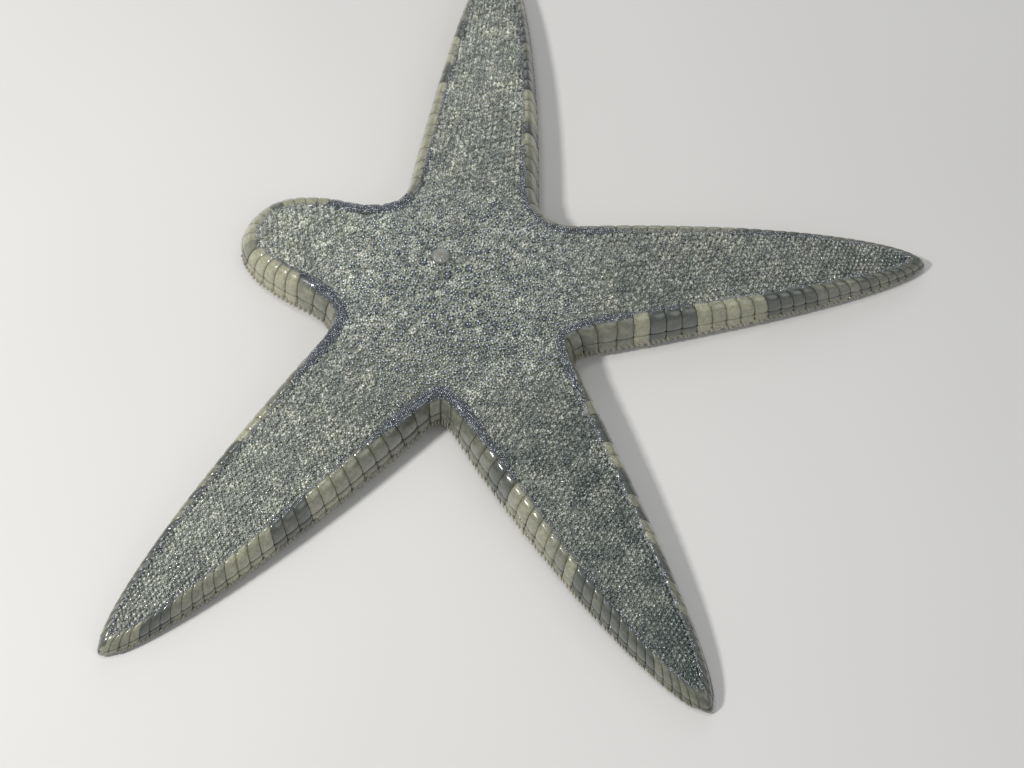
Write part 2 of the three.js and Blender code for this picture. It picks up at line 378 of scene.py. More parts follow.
    def seams(self, arm: Arm) -> Array:
        """Lists where the seams between edge plates lie.

        Args:
            arm: The arm.

        Returns:
            Places along the edge, from the notch to the tip.
        """
        steps = 1 - arm.shrink * np.arange(arm.plates) / arm.plates
        share = np.concatenate(((0,), np.cumsum(steps))) / steps.sum()
        places, lengths = self.run(arm, Side.LEFT)
        start = np.interp(1.0, places, lengths)
        on_arm = np.interp(start + (lengths[-1] - start) * share, lengths, places)
        return np.concatenate((np.linspace(0, 1, self.notch_plates + 1)[:-1], on_arm))

    def crest(self, arm: Arm, side: Side, along: Array) -> Array:
        """Finds how far in the dark crest starts, at places along the edge from 0 to 2."""
        notch = self.notch_crests[(arm.number - (side is Side.LEFT)) % len(self.arms)]
        return notch + (self.arm_crest - notch) * smoothstep(self.outward(arm, along) * arm.reach, 14, 24)

    def worn(self, arm: Arm, along: Array) -> Array:
        """Says how far the dark crest has faded, from 0 round the notch to 1 along the arm."""
        return smoothstep(self.outward(arm, along) * arm.reach, 17, 25)

    def run(self, arm: Arm, side: Side, inset: float = 1.0) -> tuple[Array, Array]:
        """Measures an inset edge line: places along it, from 0 to 2, and the way to each in mm."""
        along = np.concatenate((np.linspace(0, 1, 60)[:-1], 2 - (1 - np.linspace(0, 1, 500)) ** 3))
        return along, lengths_along(self.edge(arm, side, along, inset, 1.0))

    def outline(self, inset: float, per_part: int = 14) -> Array:
        """Draws the closed outline of the star at an inset from its side.

        Args:
            inset: How far in from the side.
            per_part: Points on each half notch and on each side of an arm.

        Returns:
            Rows of x and y, in order round the star.
        """
        along = np.concatenate((np.linspace(0, 1, per_part)[:-1],
                                2 - (1 - np.linspace(0, 1, per_part)) ** 1.6))
        ring = []
        for arm in self.arms:
            ring.append(self.edge(arm, Side.LEFT, along, inset, 1.0)[:, :2])
            ring.append(self.edge(arm, Side.RIGHT, along[::-1], inset, 1.0)[1:-1, :2])
        return np.concatenate(ring)

    @staticmethod
    def inside(spots: Array, outline: Array) -> Array:
        """Says which spots lie inside a closed outline.

        Args:
            spots: Rows of x and y.
            outline: The outline's points in order, as rows of x and y.

        Returns:
            True for each spot that does.
        """
        end = np.roll(outline, -1, axis=0)
        x, y = spots[:, :1], spots[:, 1:]
        crosses = (outline[None, :, 1] > y) != (end[None, :, 1] > y)
        rise = np.where(end[:, 1] == outline[:, 1], 1e-9, end[:, 1] - outline[:, 1])
        at = outline[:, 0] + (y - outline[:, 1]) * (end[:, 0] - outline[:, 0]) / rise
        return (crosses & (x < at)).sum(axis=1) % 2 == 1

    def mark(self, spots: Array) -> Array:
        """Reads the pattern of the star's top, the same for skin and coat, with each arm's painted light.

        Args:
            spots: Rows of x and y.

        Returns:
            0 where it is darkest and 1 where it is palest.
        """
        number, s, t = self.nearest(spots)
        marks_and_painted_light = np.zeros(len(spots))
        for arm in self.arms:
            mine = number == arm.number
            share = s[mine] / arm.reach
            half = np.maximum(self.width(arm, 0.0, s[mine]), 0.5)
            aside = np.clip(np.abs(t[mine]) / half, 0, 1)
            tone = np.where(t[mine] > 0, arm.tone(Side.LEFT, share), arm.tone(Side.RIGHT, share))
            # Painted light: each arm's own level, paler where the light falls more strongly, eases in from
            # the disc's.
            mark = self.disc_shade + (arm.tone_and_painted_light - self.disc_shade) * smoothstep(share, 0.2, 0.5)
            mark = mark + (tone - 0.45) * self.edge_shade * smoothstep(aside, 0.35, 1.0)
            marks_and_painted_light[mine] = mark - self.tip_shade * smoothstep(share, 0.7, 1.0) * (not arm.healed)
        return np.clip(marks_and_painted_light, 0, 1)


# ---- making meshes
@dataclass(frozen=True)
class Template:
    """A small closed shape that is stamped many times. It stands along its own z."""

    points: Array
    triangles: Array

    @staticmethod
    def turned(profile: tuple[tuple[float, float], ...], sides: int) -> "Template":
        """Turns a profile about z.

        Args:
            profile: Pairs of radius and height, from the bottom up, which starts and ends on the axis.
            sides: How many sides the shape has.

        Returns:
            The closed shape.
        """
        rings = profile[1:-1]
        angles = np.arange(sides) * 2 * math.pi / sides
        points = [(0.0, 0.0, profile[0][1])]
        for step, (radius, height) in enumerate(rings):
            turned = angles + (step % 2) * math.pi / sides
            points += [(radius * math.cos(a), radius * math.sin(a), height) for a in turned]
        points.append((0.0, 0.0, profile[-1][1]))
        faces = []
        for i in range(sides):
            j = (i + 1) % sides
            faces.append((0, 1 + j, 1 + i))
            for ring in range(len(rings) - 1):
                low, high = 1 + ring * sides, 1 + (ring + 1) * sides
                if ring % 2 == 0:
                    faces += [(low + i, low + j, high + i), (low + j, high + j, high + i)]
                else:
                    faces += [(low + i, low + j, high + j), (low + i, high + j, high + i)]
            last = 1 + (len(rings) - 1) * sides
            faces.append((last + i, last + j, len(points) - 1))
        return Template(np.array(points), np.array(faces))

    @staticmethod
    def ball(sides: int, rings: int, low: float = -0.5) -> "Template":
        """Makes a ball of radius 1 with so many sides and rings, cut off below at the height low."""
        arc = np.linspace(math.asin(low), math.pi / 2, rings + 1)[:-1]
        return Template.turned(((0, low * 1.05), *((math.cos(a), math.sin(a)) for a in arc), (0, 1)), sides)

    def raised(self) -> Array:
        """Says how high each point lies, from 0 at the root to 1 at the top."""
        z = self.points[:, 2]
        return (z - z.min()) / (z.max() - z.min())


def set_values(mesh: bpy.types.Mesh, name: str, values: Array) -> None:
    """Gives each point of a mesh a named value."""
    mesh.attributes.new(name, "FLOAT", "POINT").data.foreach_set("value", values.astype(np.float32))


@dataclass
class MeshMaker:
    """Gathers points, faces and values, then makes one mesh of them."""

    points: list[Array] = field(default_factory=list)
    triangles: list[Array] = field(default_factory=list)
    quads: list[Array] = field(default_factory=list)
    patches: list[Array] = field(default_factory=list)
    values: dict[str, list[Array]] = field(default_factory=dict)
    count: int = 0
    flat_triangles: bool = False

    def add(self, points: Array, triangles: Array | None = None, quads: Array | None = None,
            patches: Array | None = None, **values: Array | float) -> None:
        """Adds points and the faces between them.

        Args:
            points: Rows of x, y and z in millimetres.
            triangles: Rows of three point numbers.
            quads: Rows of four point numbers.
            patches: Each point's place on the flattened skin.
            values: Named values, one for each point or one for all.
        """
        self.points.append(points.reshape(-1, 3))
        added = len(self.points[-1])
        if triangles is not None:
            self.triangles.append(triangles.reshape(-1, 3) + self.count)
        if quads is not None:
            self.quads.append(quads.reshape(-1, 4) + self.count)
        if patches is not None:
            self.patches.append(patches.reshape(-1, 2))
        for name, value in values.items():
            self.values.setdefault(name, []).append(
                np.broadcast_to(np.asarray(value, dtype=float).ravel(), added))
        self.count += added

    def stamp(self, template: Template, middles: Array, axes: Array, roots: Array | None = None,
              **values: Array | float) -> None:
        """Adds a copy of a template at each middle.

        Args:
            template: The shape.
            middles: Rows of x, y and z.
            axes: For each copy, its own x, y and z axes, as long as the copy is big.
            roots: Each copy's place on the flattened skin.
            values: Named values, one for each copy or one for all.
        """
        copies, size = len(middles), len(template.points)
        if not copies:
            return
        points = middles[:, None, :] + np.einsum("vk,nkj->nvj", template.points, axes)
        starts = np.arange(copies)[:, None, None] * size
        patches = None if roots is None else roots[:, None] + template.points[None, :, :2] * (PATCH / 2)
        spread = {name: np.broadcast_to(np.asarray(value, dtype=float).reshape(-1, 1), (copies, size))
                  for name, value in values.items()}
        spread["lift"] = np.broadcast_to(template.raised(), (copies, size))
        self.add(points, triangles=template.triangles[None] + starts, patches=patches, **spread)

    def build(self, name: str, material: Material) -> Piece:
        """Makes the object.

        Args:
            name: The object's name.
            material: Its material.

        Returns:
            The object, linked to the scene.
        """
        points = np.concatenate(self.points) * MM
        threes = np.concatenate(self.triangles) if self.triangles else np.zeros((0, 3), dtype=int)
        fours = np.concatenate(self.quads) if self.quads else np.zeros((0, 4), dtype=int)
        corners = np.concatenate((threes.ravel(), fours.ravel())).astype(np.int32)
        sizes = np.concatenate((np.full(len(threes), 3), np.full(len(fours), 4)))
        mesh = bpy.data.meshes.new(name)
        mesh.vertices.add(len(points))
        mesh.vertices.foreach_set("co", points.astype(np.float32).ravel())
        mesh.loops.add(len(corners))
        mesh.loops.foreach_set("vertex_index", corners)
        mesh.polygons.add(len(sizes))
        mesh.polygons.foreach_set("loop_start", (np.cumsum(sizes) - sizes).astype(np.int32))
        mesh.polygons.foreach_set("use_smooth", (sizes == 4) | (not self.flat_triangles))
        mesh.update(calc_edges=True)
        for label, parts in self.values.items():
            set_values(mesh, label, np.concatenate(parts))
        if self.patches:
            places = np.clip(np.concatenate(self.patches), 0, 1)[corners]
            mesh.uv_layers.new(name="OFBake").data.foreach_set("uv", places.astype(np.float32).ravel())
        mesh.materials.append(material)
        mesh.validate()
        made = bpy.data.objects.new(name, mesh)
        bpy.context.scene.collection.objects.link(made)
        return made


def grid_quads(rows: int, columns: int, flipped: bool = False) -> Array:
    """Lists the faces of a grid of points.

    Args:
        rows: How many rows of points there are.
        columns: How many points a row has.
        flipped: Whether the faces look the other way.

    Returns:
        Rows of four point numbers.
    """
    first = np.arange(rows * columns).reshape(rows, columns)[:-1, :-1]
    quads = np.stack((first, first + 1, first + columns + 1, first + columns), axis=-1).reshape(-1, 4)
    return quads[:, ::-1] if flipped else quads


def hand_over(piece: Piece, slot: Slot, *nodes: str) -> None:
    """Says what a finished piece rides on and what it stands for.

    Args:
        piece: The piece.
        slot: Its material slot; not used.
        nodes: The frame's nodes that it stands for.
    """
    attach(piece, "root")
    if nodes:
        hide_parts(*nodes)
    log.info("%s: %d faces", piece.name, len(piece.data.polygons))


def read_points(piece: Piece, what: str) -> Array:
    """Reads the place, named co, or the normal of each of a piece's points."""
    return np.array([getattr(point, what) for point in piece.data.vertices], dtype=np.float32)


def weld(piece: Piece, near: float, thin: float = 0.0) -> None:
    """Joins points that meet and turns all faces outward.

    Args:
        piece: The piece.
        near: How near, in millimetres, points are joined.
        thin: How short, in millimetres, an edge is taken out.
    """
    work = bmesh.new()
    work.from_mesh(piece.data)
    bmesh.ops.remove_doubles(work, verts=work.verts, dist=near * MM)
    if thin:
        bmesh.ops.dissolve_degenerate(work, edges=work.edges, dist=thin * MM)
    bmesh.ops.recalc_face_normals(work, faces=work.faces)
    work.to_mesh(piece.data)
    work.free()


@dataclass
class Ground:
    """A surface that small things are set on."""

    tree: BVHTree

    @staticmethod
    def of(*pieces: Piece) -> "Ground":
        """Takes the surfaces of some pieces.

        Args:
            pieces: The pieces.

        Returns:
            One ground of them all.
        """
        points, faces, start = [], [], 0
        for piece in pieces:
            points += read_points(piece, "co").tolist()
            faces += [tuple(start + i for i in polygon.vertices) for polygon in piece.data.polygons]
            start = len(points)
        return Ground(BVHTree.FromPolygons(points, faces))

    def drop(self, spots: Array, upward: bool = False) -> tuple[Array, Array, Array]:
        """Sets spots on the ground from above, or from below.

        Args:
            spots: Rows of x and y.
            upward: Whether they come from below.

        Returns:
            Which spots met the ground, where, and the way the ground faces there.
        """
        start, way = (-0.01, Vector((0, 0, 1))) if upward else (0.05, Vector((0, 0, -1)))
        met, places, facing = [], [], []
        for x, y in spots:
            place, normal, _, _ = self.tree.ray_cast(Vector((x * MM, y * MM, start)), way)
            met.append(place is not None)
            if place is not None:
                places.append(place)
                facing.append(normal if normal.z * way.z < 0 else -normal)
        return np.array(met), np.array(places).reshape(-1, 3) / MM, np.array(facing).reshape(-1, 3)


# ---- shader node groups
class Nodes:
    """Places and joins the nodes of one tree."""

    def __init__(self, tree: bpy.types.NodeTree) -> None:
        """Starts with an empty tree."""
        self.tree = tree
        tree.nodes.clear()

    def add(self, kind: str, inputs: dict[str | int, object] | None = None,
            **settings: object) -> bpy.types.Node:
        """Adds a node.

        Args:
            kind: The node's type.
            inputs: Values or other nodes' sockets, by the name or number of the input.
            settings: The node's own settings.

        Returns:
            The node.
        """
        node = self.tree.nodes.new(kind)
        for name, value in settings.items():
            setattr(node, name, value)
        for name, value in (inputs or {}).items():
            if isinstance(value, Socket):
                self.tree.links.new(value, node.inputs[name])
            else:
                node.inputs[name].default_value = value
        return node

    def noise(self, scale: float | Socket, detail: float = 3.0) -> Socket:
        """Adds a noise in the object's own space, with its scale in waves to the metre."""
        inputs = {"Vector": self.place(), "Scale": scale, "Detail": detail, "Roughness": 0.55}
        return self.add("ShaderNodeTexNoise", inputs).outputs["Fac"]

    def place(self) -> Socket:
        """Reads the place in the object's own space."""
        return self.add("ShaderNodeTexCoord").outputs["Object"]

    def span(self, value: Socket, low: object, high: object, to_low: object = 0.0,
             to_high: object = 1.0) -> Socket:
        """Maps a value smoothly from the range low to high to another one, and holds it there."""
        inputs = {"Value": value, "From Min": low, "From Max": high, "To Min": to_low, "To Max": to_high}
        return self.add("ShaderNodeMapRange", inputs, interpolation_type="SMOOTHSTEP").outputs["Result"]

    def mix(self, share: object, first: object, second: object, blend: str = "MIX") -> Socket:
        """Mixes a share of a second colour into a first one. Each is a colour or a socket."""
        inputs = {0: share, 6: first, 7: second}
        return self.add("ShaderNodeMix", inputs, data_type="RGBA", blend_type=blend).outputs[2]

    def value(self, name: str) -> Socket:
        """Reads one of the mesh's named values."""
        return self.add("ShaderNodeAttribute", attribute_name=name).outputs["Fac"]

    def math(self, operation: str, first: object, second: object) -> Socket:
        """Adds or multiplies two values."""
        return self.add("ShaderNodeMath", {0: first, 1: second}, operation=operation).outputs[0]

    def times(self, color: object, factor: Color) -> Socket:
        """Multiplies a colour by a fixed one."""
        return self.mix(1.0, color, opaque(factor), "MULTIPLY")

    def group(self, tree: bpy.types.NodeTree, inputs: dict[str | int, object]) -> bpy.types.Node:
        """Places a node group with its own values."""
        return self.add("ShaderNodeGroup", inputs, node_tree=tree)


class Effects:
    """The node groups that several materials share, each built once."""

    def __init__(self) -> None:
        """Builds the groups."""
        self.markings_and_painted_light = self._made("Body markings and painted light", "Color, Strength", "Color", self._markings_and_painted_light)
        self.mottle = self._made("Mottle", "Color, Patch Color, Size, Amount", "Color", self._mottle)
        self.grain = self._made("Fine grain", "Size, Pitting", "Height", self._grain)
        self.wet = self._made("Wet film", "Wet, Damp, Size", "Roughness, Film", self._wet)
        # Bead and granule tops paled by their glint: partly pale tips, partly a painted highlight.
        self.tips = self._made("Pale tips and painted glints", "Color, Tip Color, Low, High", "Color", self._tips)

    @staticmethod
    def _made(name: str, inputs: str, outputs: str,
              fill: Callable[[Nodes, Given], Put]) -> bpy.types.NodeTree:
        """Builds a group with named sockets. Those whose name ends in Color hold colours, the others values.

        Args:
            name: The group's name.
            inputs: The inputs' names, with commas between them.
            outputs: The outputs' names, in the same way.
            fill: Places the nodes, and says what each output puts out.

        Returns:
            The group.
        """
        tree = bpy.data.node_groups.new(name, "ShaderNodeTree")
        for way, labels in (("INPUT", inputs), ("OUTPUT", outputs)):
            for label in labels.split(", "):
                kind = "NodeSocketColor" if label.endswith("Color") else "NodeSocketFloat"
                tree.interface.new_socket(label, in_out=way, socket_type=kind)
        nodes = Nodes(tree)
        nodes.add("NodeGroupOutput", fill(nodes, nodes.add("NodeGroupInput").outputs))
        return tree

    @staticmethod
    def _markings_and_painted_light(nodes: Nodes, given: Given) -> Put:
        """Darkens or lightens a colour by the mesh's pattern and painted light, with broken edges.

        Args:
            nodes: The group's nodes.
            given: Its inputs.

        Returns:
            Its outputs.
        """
        ragged = nodes.span(nodes.noise(480.0, 4.0), 0.3, 0.7, -0.24, 0.13)
        mark = nodes.math("ADD", nodes.value("mark"), ragged)
        dark = nodes.times(given["Color"], (0.36, 0.42, 0.44))
        pale = nodes.times(given["Color"], (1.46, 1.46, 1.42))
        low = nodes.mix(nodes.span(mark, 0.05, 0.5), dark, given["Color"])
        marked_and_painted_light = nodes.mix(nodes.span(mark, 0.5, 0.95), low, pale)
        return {"Color": nodes.mix(given["Strength"], given["Color"], marked_and_painted_light)}

    @staticmethod
    def _mottle(nodes: Nodes, given: Given) -> Put:
        """Lays soft patches over a colour, their size in waves to the metre."""
        share = nodes.math("MULTIPLY", nodes.span(nodes.noise(given["Size"], 4), 0.4, 0.66), given["Amount"])
        return {"Color": nodes.mix(share, given["Color"], given["Patch Color"])}

    @staticmethod
    def _grain(nodes: Nodes, given: Given) -> Put:
        """Makes a fine pebbled grain for a bump.

        Args:
            nodes: The group's nodes.
            given: Its inputs, with the size in pebbles to the metre.

        Returns:
            Its outputs.
        """
        inputs = {"Vector": nodes.place(), "Scale": given["Size"]}
        cells = nodes.add("ShaderNodeTexVoronoi", inputs, feature="SMOOTH_F1")
        pebble = nodes.span(cells.outputs["Distance"], 0.1, 0.75, 1.0, 0.0)
        pits = nodes.math("MULTIPLY", nodes.noise(given["Size"], 5.0), given["Pitting"])
        return {"Height": nodes.math("ADD", pebble, pits)}

    @staticmethod
    def _wet(nodes: Nodes, given: Given) -> Put:
        """Makes a film of water that lies unevenly.

        Args:
            nodes: The group's nodes.
            given: Its inputs.

        Returns:
            Its outputs, a roughness and how much of the film there is.
        """
        noise = nodes.noise(given["Size"], 3.0)
        return {"Roughness": nodes.span(noise, 0.35, 0.65, given["Wet"], given["Damp"]),
                "Film": nodes.span(noise, 0.35, 0.7, 1.0, 0.55)}

    @staticmethod
    def _tips(nodes: Nodes, given: Given) -> Put:
        """Pales each bead's top by its height and its glint: partly pale tips, partly a painted highlight.

        Args:
            nodes: The group's nodes.
            given: Its inputs.

        Returns:
            Its outputs.
        """
        cap = nodes.span(nodes.value("lift"), given["Low"], given["High"])
        share = nodes.math("MULTIPLY", cap, nodes.value("glint"))
        return {"Color": nodes.mix(share, given["Color"], given["Tip Color"])}


class FinishNodes(Nodes):
    """The nodes of one material, with the shared groups at hand."""

    def __init__(self, tree: bpy.types.NodeTree, effects: Effects) -> None:
        """Starts with an empty tree."""
        super().__init__(tree)
        self.effects = effects

    def mottled(self, color: Color | Socket, patch: Color, size: float, amount: float) -> Socket:
        """Breaks a colour up with soft patches of another, their size in waves to the metre."""
        inputs = {"Color": opaque(color), "Patch Color": opaque(patch), "Size": size, "Amount": amount}
        return self.group(self.effects.mottle, inputs).outputs["Color"]

    def blended(self, name: str, first: Color | Socket, second: Color | Socket) -> Socket:
        """Goes from one colour to another by one of the mesh's named values."""
        return self.mix(self.value(name), opaque(first), opaque(second))

    def marked_and_painted_light(self, color: Socket, strength: float) -> Socket:
        """Darkens or lightens a colour by the body's pattern and its painted light."""
        return self.group(self.effects.markings_and_painted_light, {"Color": color, "Strength": strength}).outputs["Color"]

    def tipped_with_painted_glints(self, color: Socket, tip: Color, low: float, high: float) -> Socket:
        """Paints each bead's top pale from the height low to high: partly pale tips, partly a painted
        highlight.
        """
        inputs = {"Color": color, "Tip Color": opaque(tip), "Low": low, "High": high}
        return self.group(self.effects.tips, inputs).outputs["Color"]


@dataclass(frozen=True)
class Finish:
    """What the wet finishes share: gloss, grain and the water on them."""

    name: str
    wet: float = 0.16
    damp: float = 0.34
    film: float = 0.06
    film_ior: float = 1.5
    grain_size: float = 5200.0
    grain_depth: float = 0.03
    pitting: float = 0.5

    def material(self, effects: Effects) -> Material:
        """Makes the material.

        Args:
            effects: The shared node groups.

        Returns:
            The material.
        """
        made = bpy.data.materials.new(self.name)
        made.use_nodes = True
        nodes = FinishNodes(made.node_tree, effects)
        wet = nodes.group(effects.wet, {"Wet": self.wet, "Damp": self.damp, "Size": 260.0})
        grain = nodes.group(effects.grain, {"Size": self.grain_size, "Pitting": self.pitting})
        bump = nodes.add("ShaderNodeBump", {"Height": grain.outputs["Height"], "Strength": 0.6,
                                            "Distance": self.grain_depth * MM})
        shader = nodes.add("ShaderNodeBsdfPrincipled", {
            "Base Color": self.color(nodes), "Roughness": wet.outputs["Roughness"],
            "Coat Weight": wet.outputs["Film"], "Normal": bump.outputs["Normal"], **self.gloss()})
        nodes.add("ShaderNodeOutputMaterial", {"Surface": shader.outputs["BSDF"]})
        return made

    def gloss(self) -> dict[str, float]:
        """Gives the even gloss of the water film, for the shader's own sockets."""
        return {"IOR": 1.5, "Coat Roughness": self.film, "Coat IOR": self.film_ior}

    def color(self, nodes: FinishNodes) -> Socket:
        """Makes the colour, which each finish does in its own way."""
        raise NotImplementedError


@dataclass(frozen=True)
class SkinFinish(Finish):
    """The soft skin between the paxillae and under the star."""

    name: str = "Wet skin"
    wet: float = 0.45
    damp: float = 0.6
    film: float = 0.4
    above: Color = (0.23, 0.25, 0.21)
    patch: Color = (0.15, 0.17, 0.15)
    below: Color = (0.5, 0.45, 0.3)
    below_patch: Color = (0.4, 0.34, 0.22)

    def color(self, nodes: FinishNodes) -> Socket:
        """Goes from the patterned top, with its painted light, to the plain underside, both with patches."""
        above = nodes.marked_and_painted_light(nodes.mottled(self.above, self.patch, 420.0, 0.7), 0.8)
        return nodes.blended("under", above, nodes.mottled(self.below, self.below_patch, 600.0, 0.6))


@dataclass(frozen=True)
class CoatFinish(Finish):
    """The paxillae: dark wet beads, ringed by paler spinelets."""

    name: str = "Paxillae"
    wet: float = 0.1
    damp: float = 0.22
    film_ior: float = 2.0
    grain_size: float = 9000.0
    grain_depth: float = 0.008
    beads: tuple[Color, ...] = ((0.083, 0.103, 0.124), (0.18, 0.208, 0.205), (0.345, 0.358, 0.315),
                                (0.51, 0.53, 0.48), (0.75, 0.78, 0.71))
    stops: tuple[float, ...] = (0.0, 0.28, 0.52, 0.76, 1.0)
    # tip: the blue-white bead tops, partly pale tips, partly a painted highlight.
    tip: Color = (0.86, 0.95, 1.0)
    spinelet: Color = (0.8, 0.83, 0.68)
    spinelet_dark: Color = (0.205, 0.232, 0.205)
    tint: Color = (1.115, 1.05, 1.035)
    # root: darkens the spinelets near their roots, painted shade down among the beads.
    root: Color = (0.55, 0.57, 0.55)

    def color(self, nodes: FinishNodes) -> Socket:
        """Makes the colour.

        Args:
            nodes: The material's nodes.

        Returns:
            The colour's socket.
        """
        ramp = nodes.add("ShaderNodeValToRGB", {"Fac": nodes.value("tone")})
        stops = ramp.color_ramp.elements
        for place, color in zip(self.stops[1:-1], self.beads[1:-1]):
            stops.new(place).color = opaque(color)
        stops[0].color = opaque(self.beads[0])
        stops[len(stops) - 1].color = opaque(self.beads[-1])
        color = ramp.outputs["Color"]
        tinted = nodes.mix(nodes.span(nodes.noise(240.0, 2.0), 0.45, 0.6), color,
                           nodes.times(color, self.tint))
        ring = nodes.blended("tone", self.spinelet_dark, self.spinelet)
        rings = nodes.mottled(ring, self.spinelet_dark, 380.0, 0.5)
        # Painted shade: the spinelets darken toward their roots, down among the beads.
        root_shaded = nodes.mix(nodes.span(nodes.value("lift"), 0.0, 0.7), nodes.times(rings, self.root), rings)
        return nodes.marked_and_painted_light(nodes.blended("spinelet", nodes.tipped_with_painted_glints(tinted, self.tip, 0.8, 0.9), root_shaded), 1.0)


@dataclass(frozen=True)
class PlateFinish(Finish):
    """The edge plates: smooth, khaki to cream, with dark bands; seams darkened by joint colour and painted
    shade.
    """

    name: str = "Edge plates"
    wet: float = 0.2
    damp: float = 0.36
    grain_size: float = 7000.0
    grain_depth: float = 0.012
    dark: Color = (0.08, 0.092, 0.083)
    olive: Color = (0.235, 0.24, 0.178)
    pale: Color = (0.435, 0.43, 0.3)
    crest: Color = (0.03, 0.04, 0.052)
    fleck: Color = (0.1, 0.1, 0.07)
    # Darkens the seams and plate edges: partly joint colour, partly painted shade in the grooves.
    seam_stain_and_shade: Color = (0.68, 0.66, 0.62)

    def color(self, nodes: FinishNodes) -> Socket:
        """Makes the colour.

        Args:
            nodes: The material's nodes.

        Returns:
            The colour's socket.
        """
        ragged = nodes.span(nodes.noise(1400.0, 3.0), 0.3, 0.7, -0.14, 0.14)
        ramp = nodes.add("ShaderNodeValToRGB", {"Fac": nodes.math("ADD", nodes.value("tone"), ragged)})
        stops = ramp.color_ramp.elements
        stops.new(0.5).color = opaque(self.olive)
        stops[0].color = opaque(self.dark)
        stops[2].color = opaque(self.pale)
        flecked = nodes.mottled(ramp.outputs["Color"], self.fleck, 3600.0, 0.35)
        topped = nodes.blended("crest", flecked, self.crest)
        # The seams: partly joint colour, partly painted shade in the grooves.
        return nodes.blended("seam", topped, nodes.times(topped, self.seam_stain_and_shade))


@dataclass(frozen=True)
class GranuleFinish(Finish):
    """The blue-black granules along the crest of the edge plates."""

    name: str = "Crest granules"
    wet: float = 0.1
    damp: float = 0.22
    grain_size: float = 9000.0
    grain_depth: float = 0.006
    film_ior: float = 1.9
    dark: Color = (0.032, 0.043, 0.06)
    worn: Color = (0.36, 0.38, 0.34)
    # tip: the blue-white granule tops, partly pale tips, partly a painted highlight.
    tip: Color = (0.8, 0.87, 1.0)
    patch: Color = (0.055, 0.065, 0.08)

    def color(self, nodes: FinishNodes) -> Socket:
        """Goes from dark to worn by tone, with patches, and tops paled partly as a painted highlight."""
        patched = nodes.mottled(nodes.blended("tone", self.dark, self.worn), self.patch, 900.0, 0.5)
        return nodes.tipped_with_painted_glints(patched, self.tip, 0.74, 0.86)


@dataclass(frozen=True)
class SpineFinish(Finish):
    """The flat fringe spines and the small plates and spines of the underside."""

    name: str = "Spines and under plates"
    wet: float = 0.22
    damp: float = 0.4
    grain_size: float = 6000.0
    grain_depth: float = 0.01
    pale: Color = (0.46, 0.43, 0.3)
    dark: Color = (0.1, 0.105, 0.085)
    patch: Color = (0.3, 0.26, 0.16)

    def color(self, nodes: FinishNodes) -> Socket:
        """Goes from dark to pale by tone, with patches."""
        toned = nodes.blended("tone", self.dark, self.pale)
        return nodes.mottled(toned, self.patch, 1300.0, 0.45)


@dataclass(frozen=True)
class SieveFinish(Finish):
    """The madreporite: a grey dome, with painted shade in its grooves and toward its rim."""

    name: str = "Madreporite"
    wet: float = 0.16
    damp: float = 0.26
    grain_size: float = 9000.0
    grain_depth: float = 0.006
    film_ior: float = 1.7
    # groove: painted shade, the colour in the grooves and on the dome's outer slope.
    groove: Color = (0.12, 0.13, 0.122)
    ridge: Color = (0.27, 0.292, 0.268)
    core: Color = (0.222, 0.222, 0.187)
    patch: Color = (0.2, 0.185, 0.155)

    def color(self, nodes: FinishNodes) -> Socket:
        """Paints shade into the grooves and toward the rim, tints the core, and adds patches."""
        cored = nodes.blended("core", nodes.blended("ridge", self.groove, self.ridge), self.core)
        return nodes.mottled(cored, self.patch, 900.0, 0.5)


@dataclass(frozen=True)
class FootFinish(Finish):
    """The tube feet: pale, smooth and a little see-through."""

    name: str = "Tube feet"
    wet: float = 0.12
    damp: float = 0.2
    grain_depth: float = 0.004
    tube: Color = (0.62, 0.52, 0.33)
    tip: Color = (0.75, 0.7, 0.55)
    patch: Color = (0.5, 0.38, 0.24)

    def color(self, nodes: FinishNodes) -> Socket:
        """Goes from the tube's colour to its tip's, with patches."""
        along = nodes.blended("lift", self.tube, self.tip)
        return nodes.mottled(along, self.patch, 800.0, 0.5)

    def gloss(self) -> dict[str, float]:
        """Adds the light that shines through the thin tubes."""
        return super().gloss() | {"Subsurface Weight": 0.3, "Subsurface Scale": 0.3 * MM}


def make_materials(effects: Effects) -> dict[type[Finish], Material]:
    """Makes the material of every finish once."""
    return {finish: finish().material(effects) for finish in Finish.__subclasses__()}


# ---- the skin
@dataclass(frozen=True)
class SkinLine:
    """A line of the skin from a notch or the star's middle out to a tip.

    back and inset say how far it stays from the tip and the side, rise and lift how high it
    runs, notch_lift what is added at its start, and furrow how wide the furrow is there.
    """

    rise: float = 0.0
    inset: float | None = None
    lift: float = 0.0
    notch_lift: float = 0.0
    furrow: float | None = None
    level: float | None = None
    back: float = 5.0


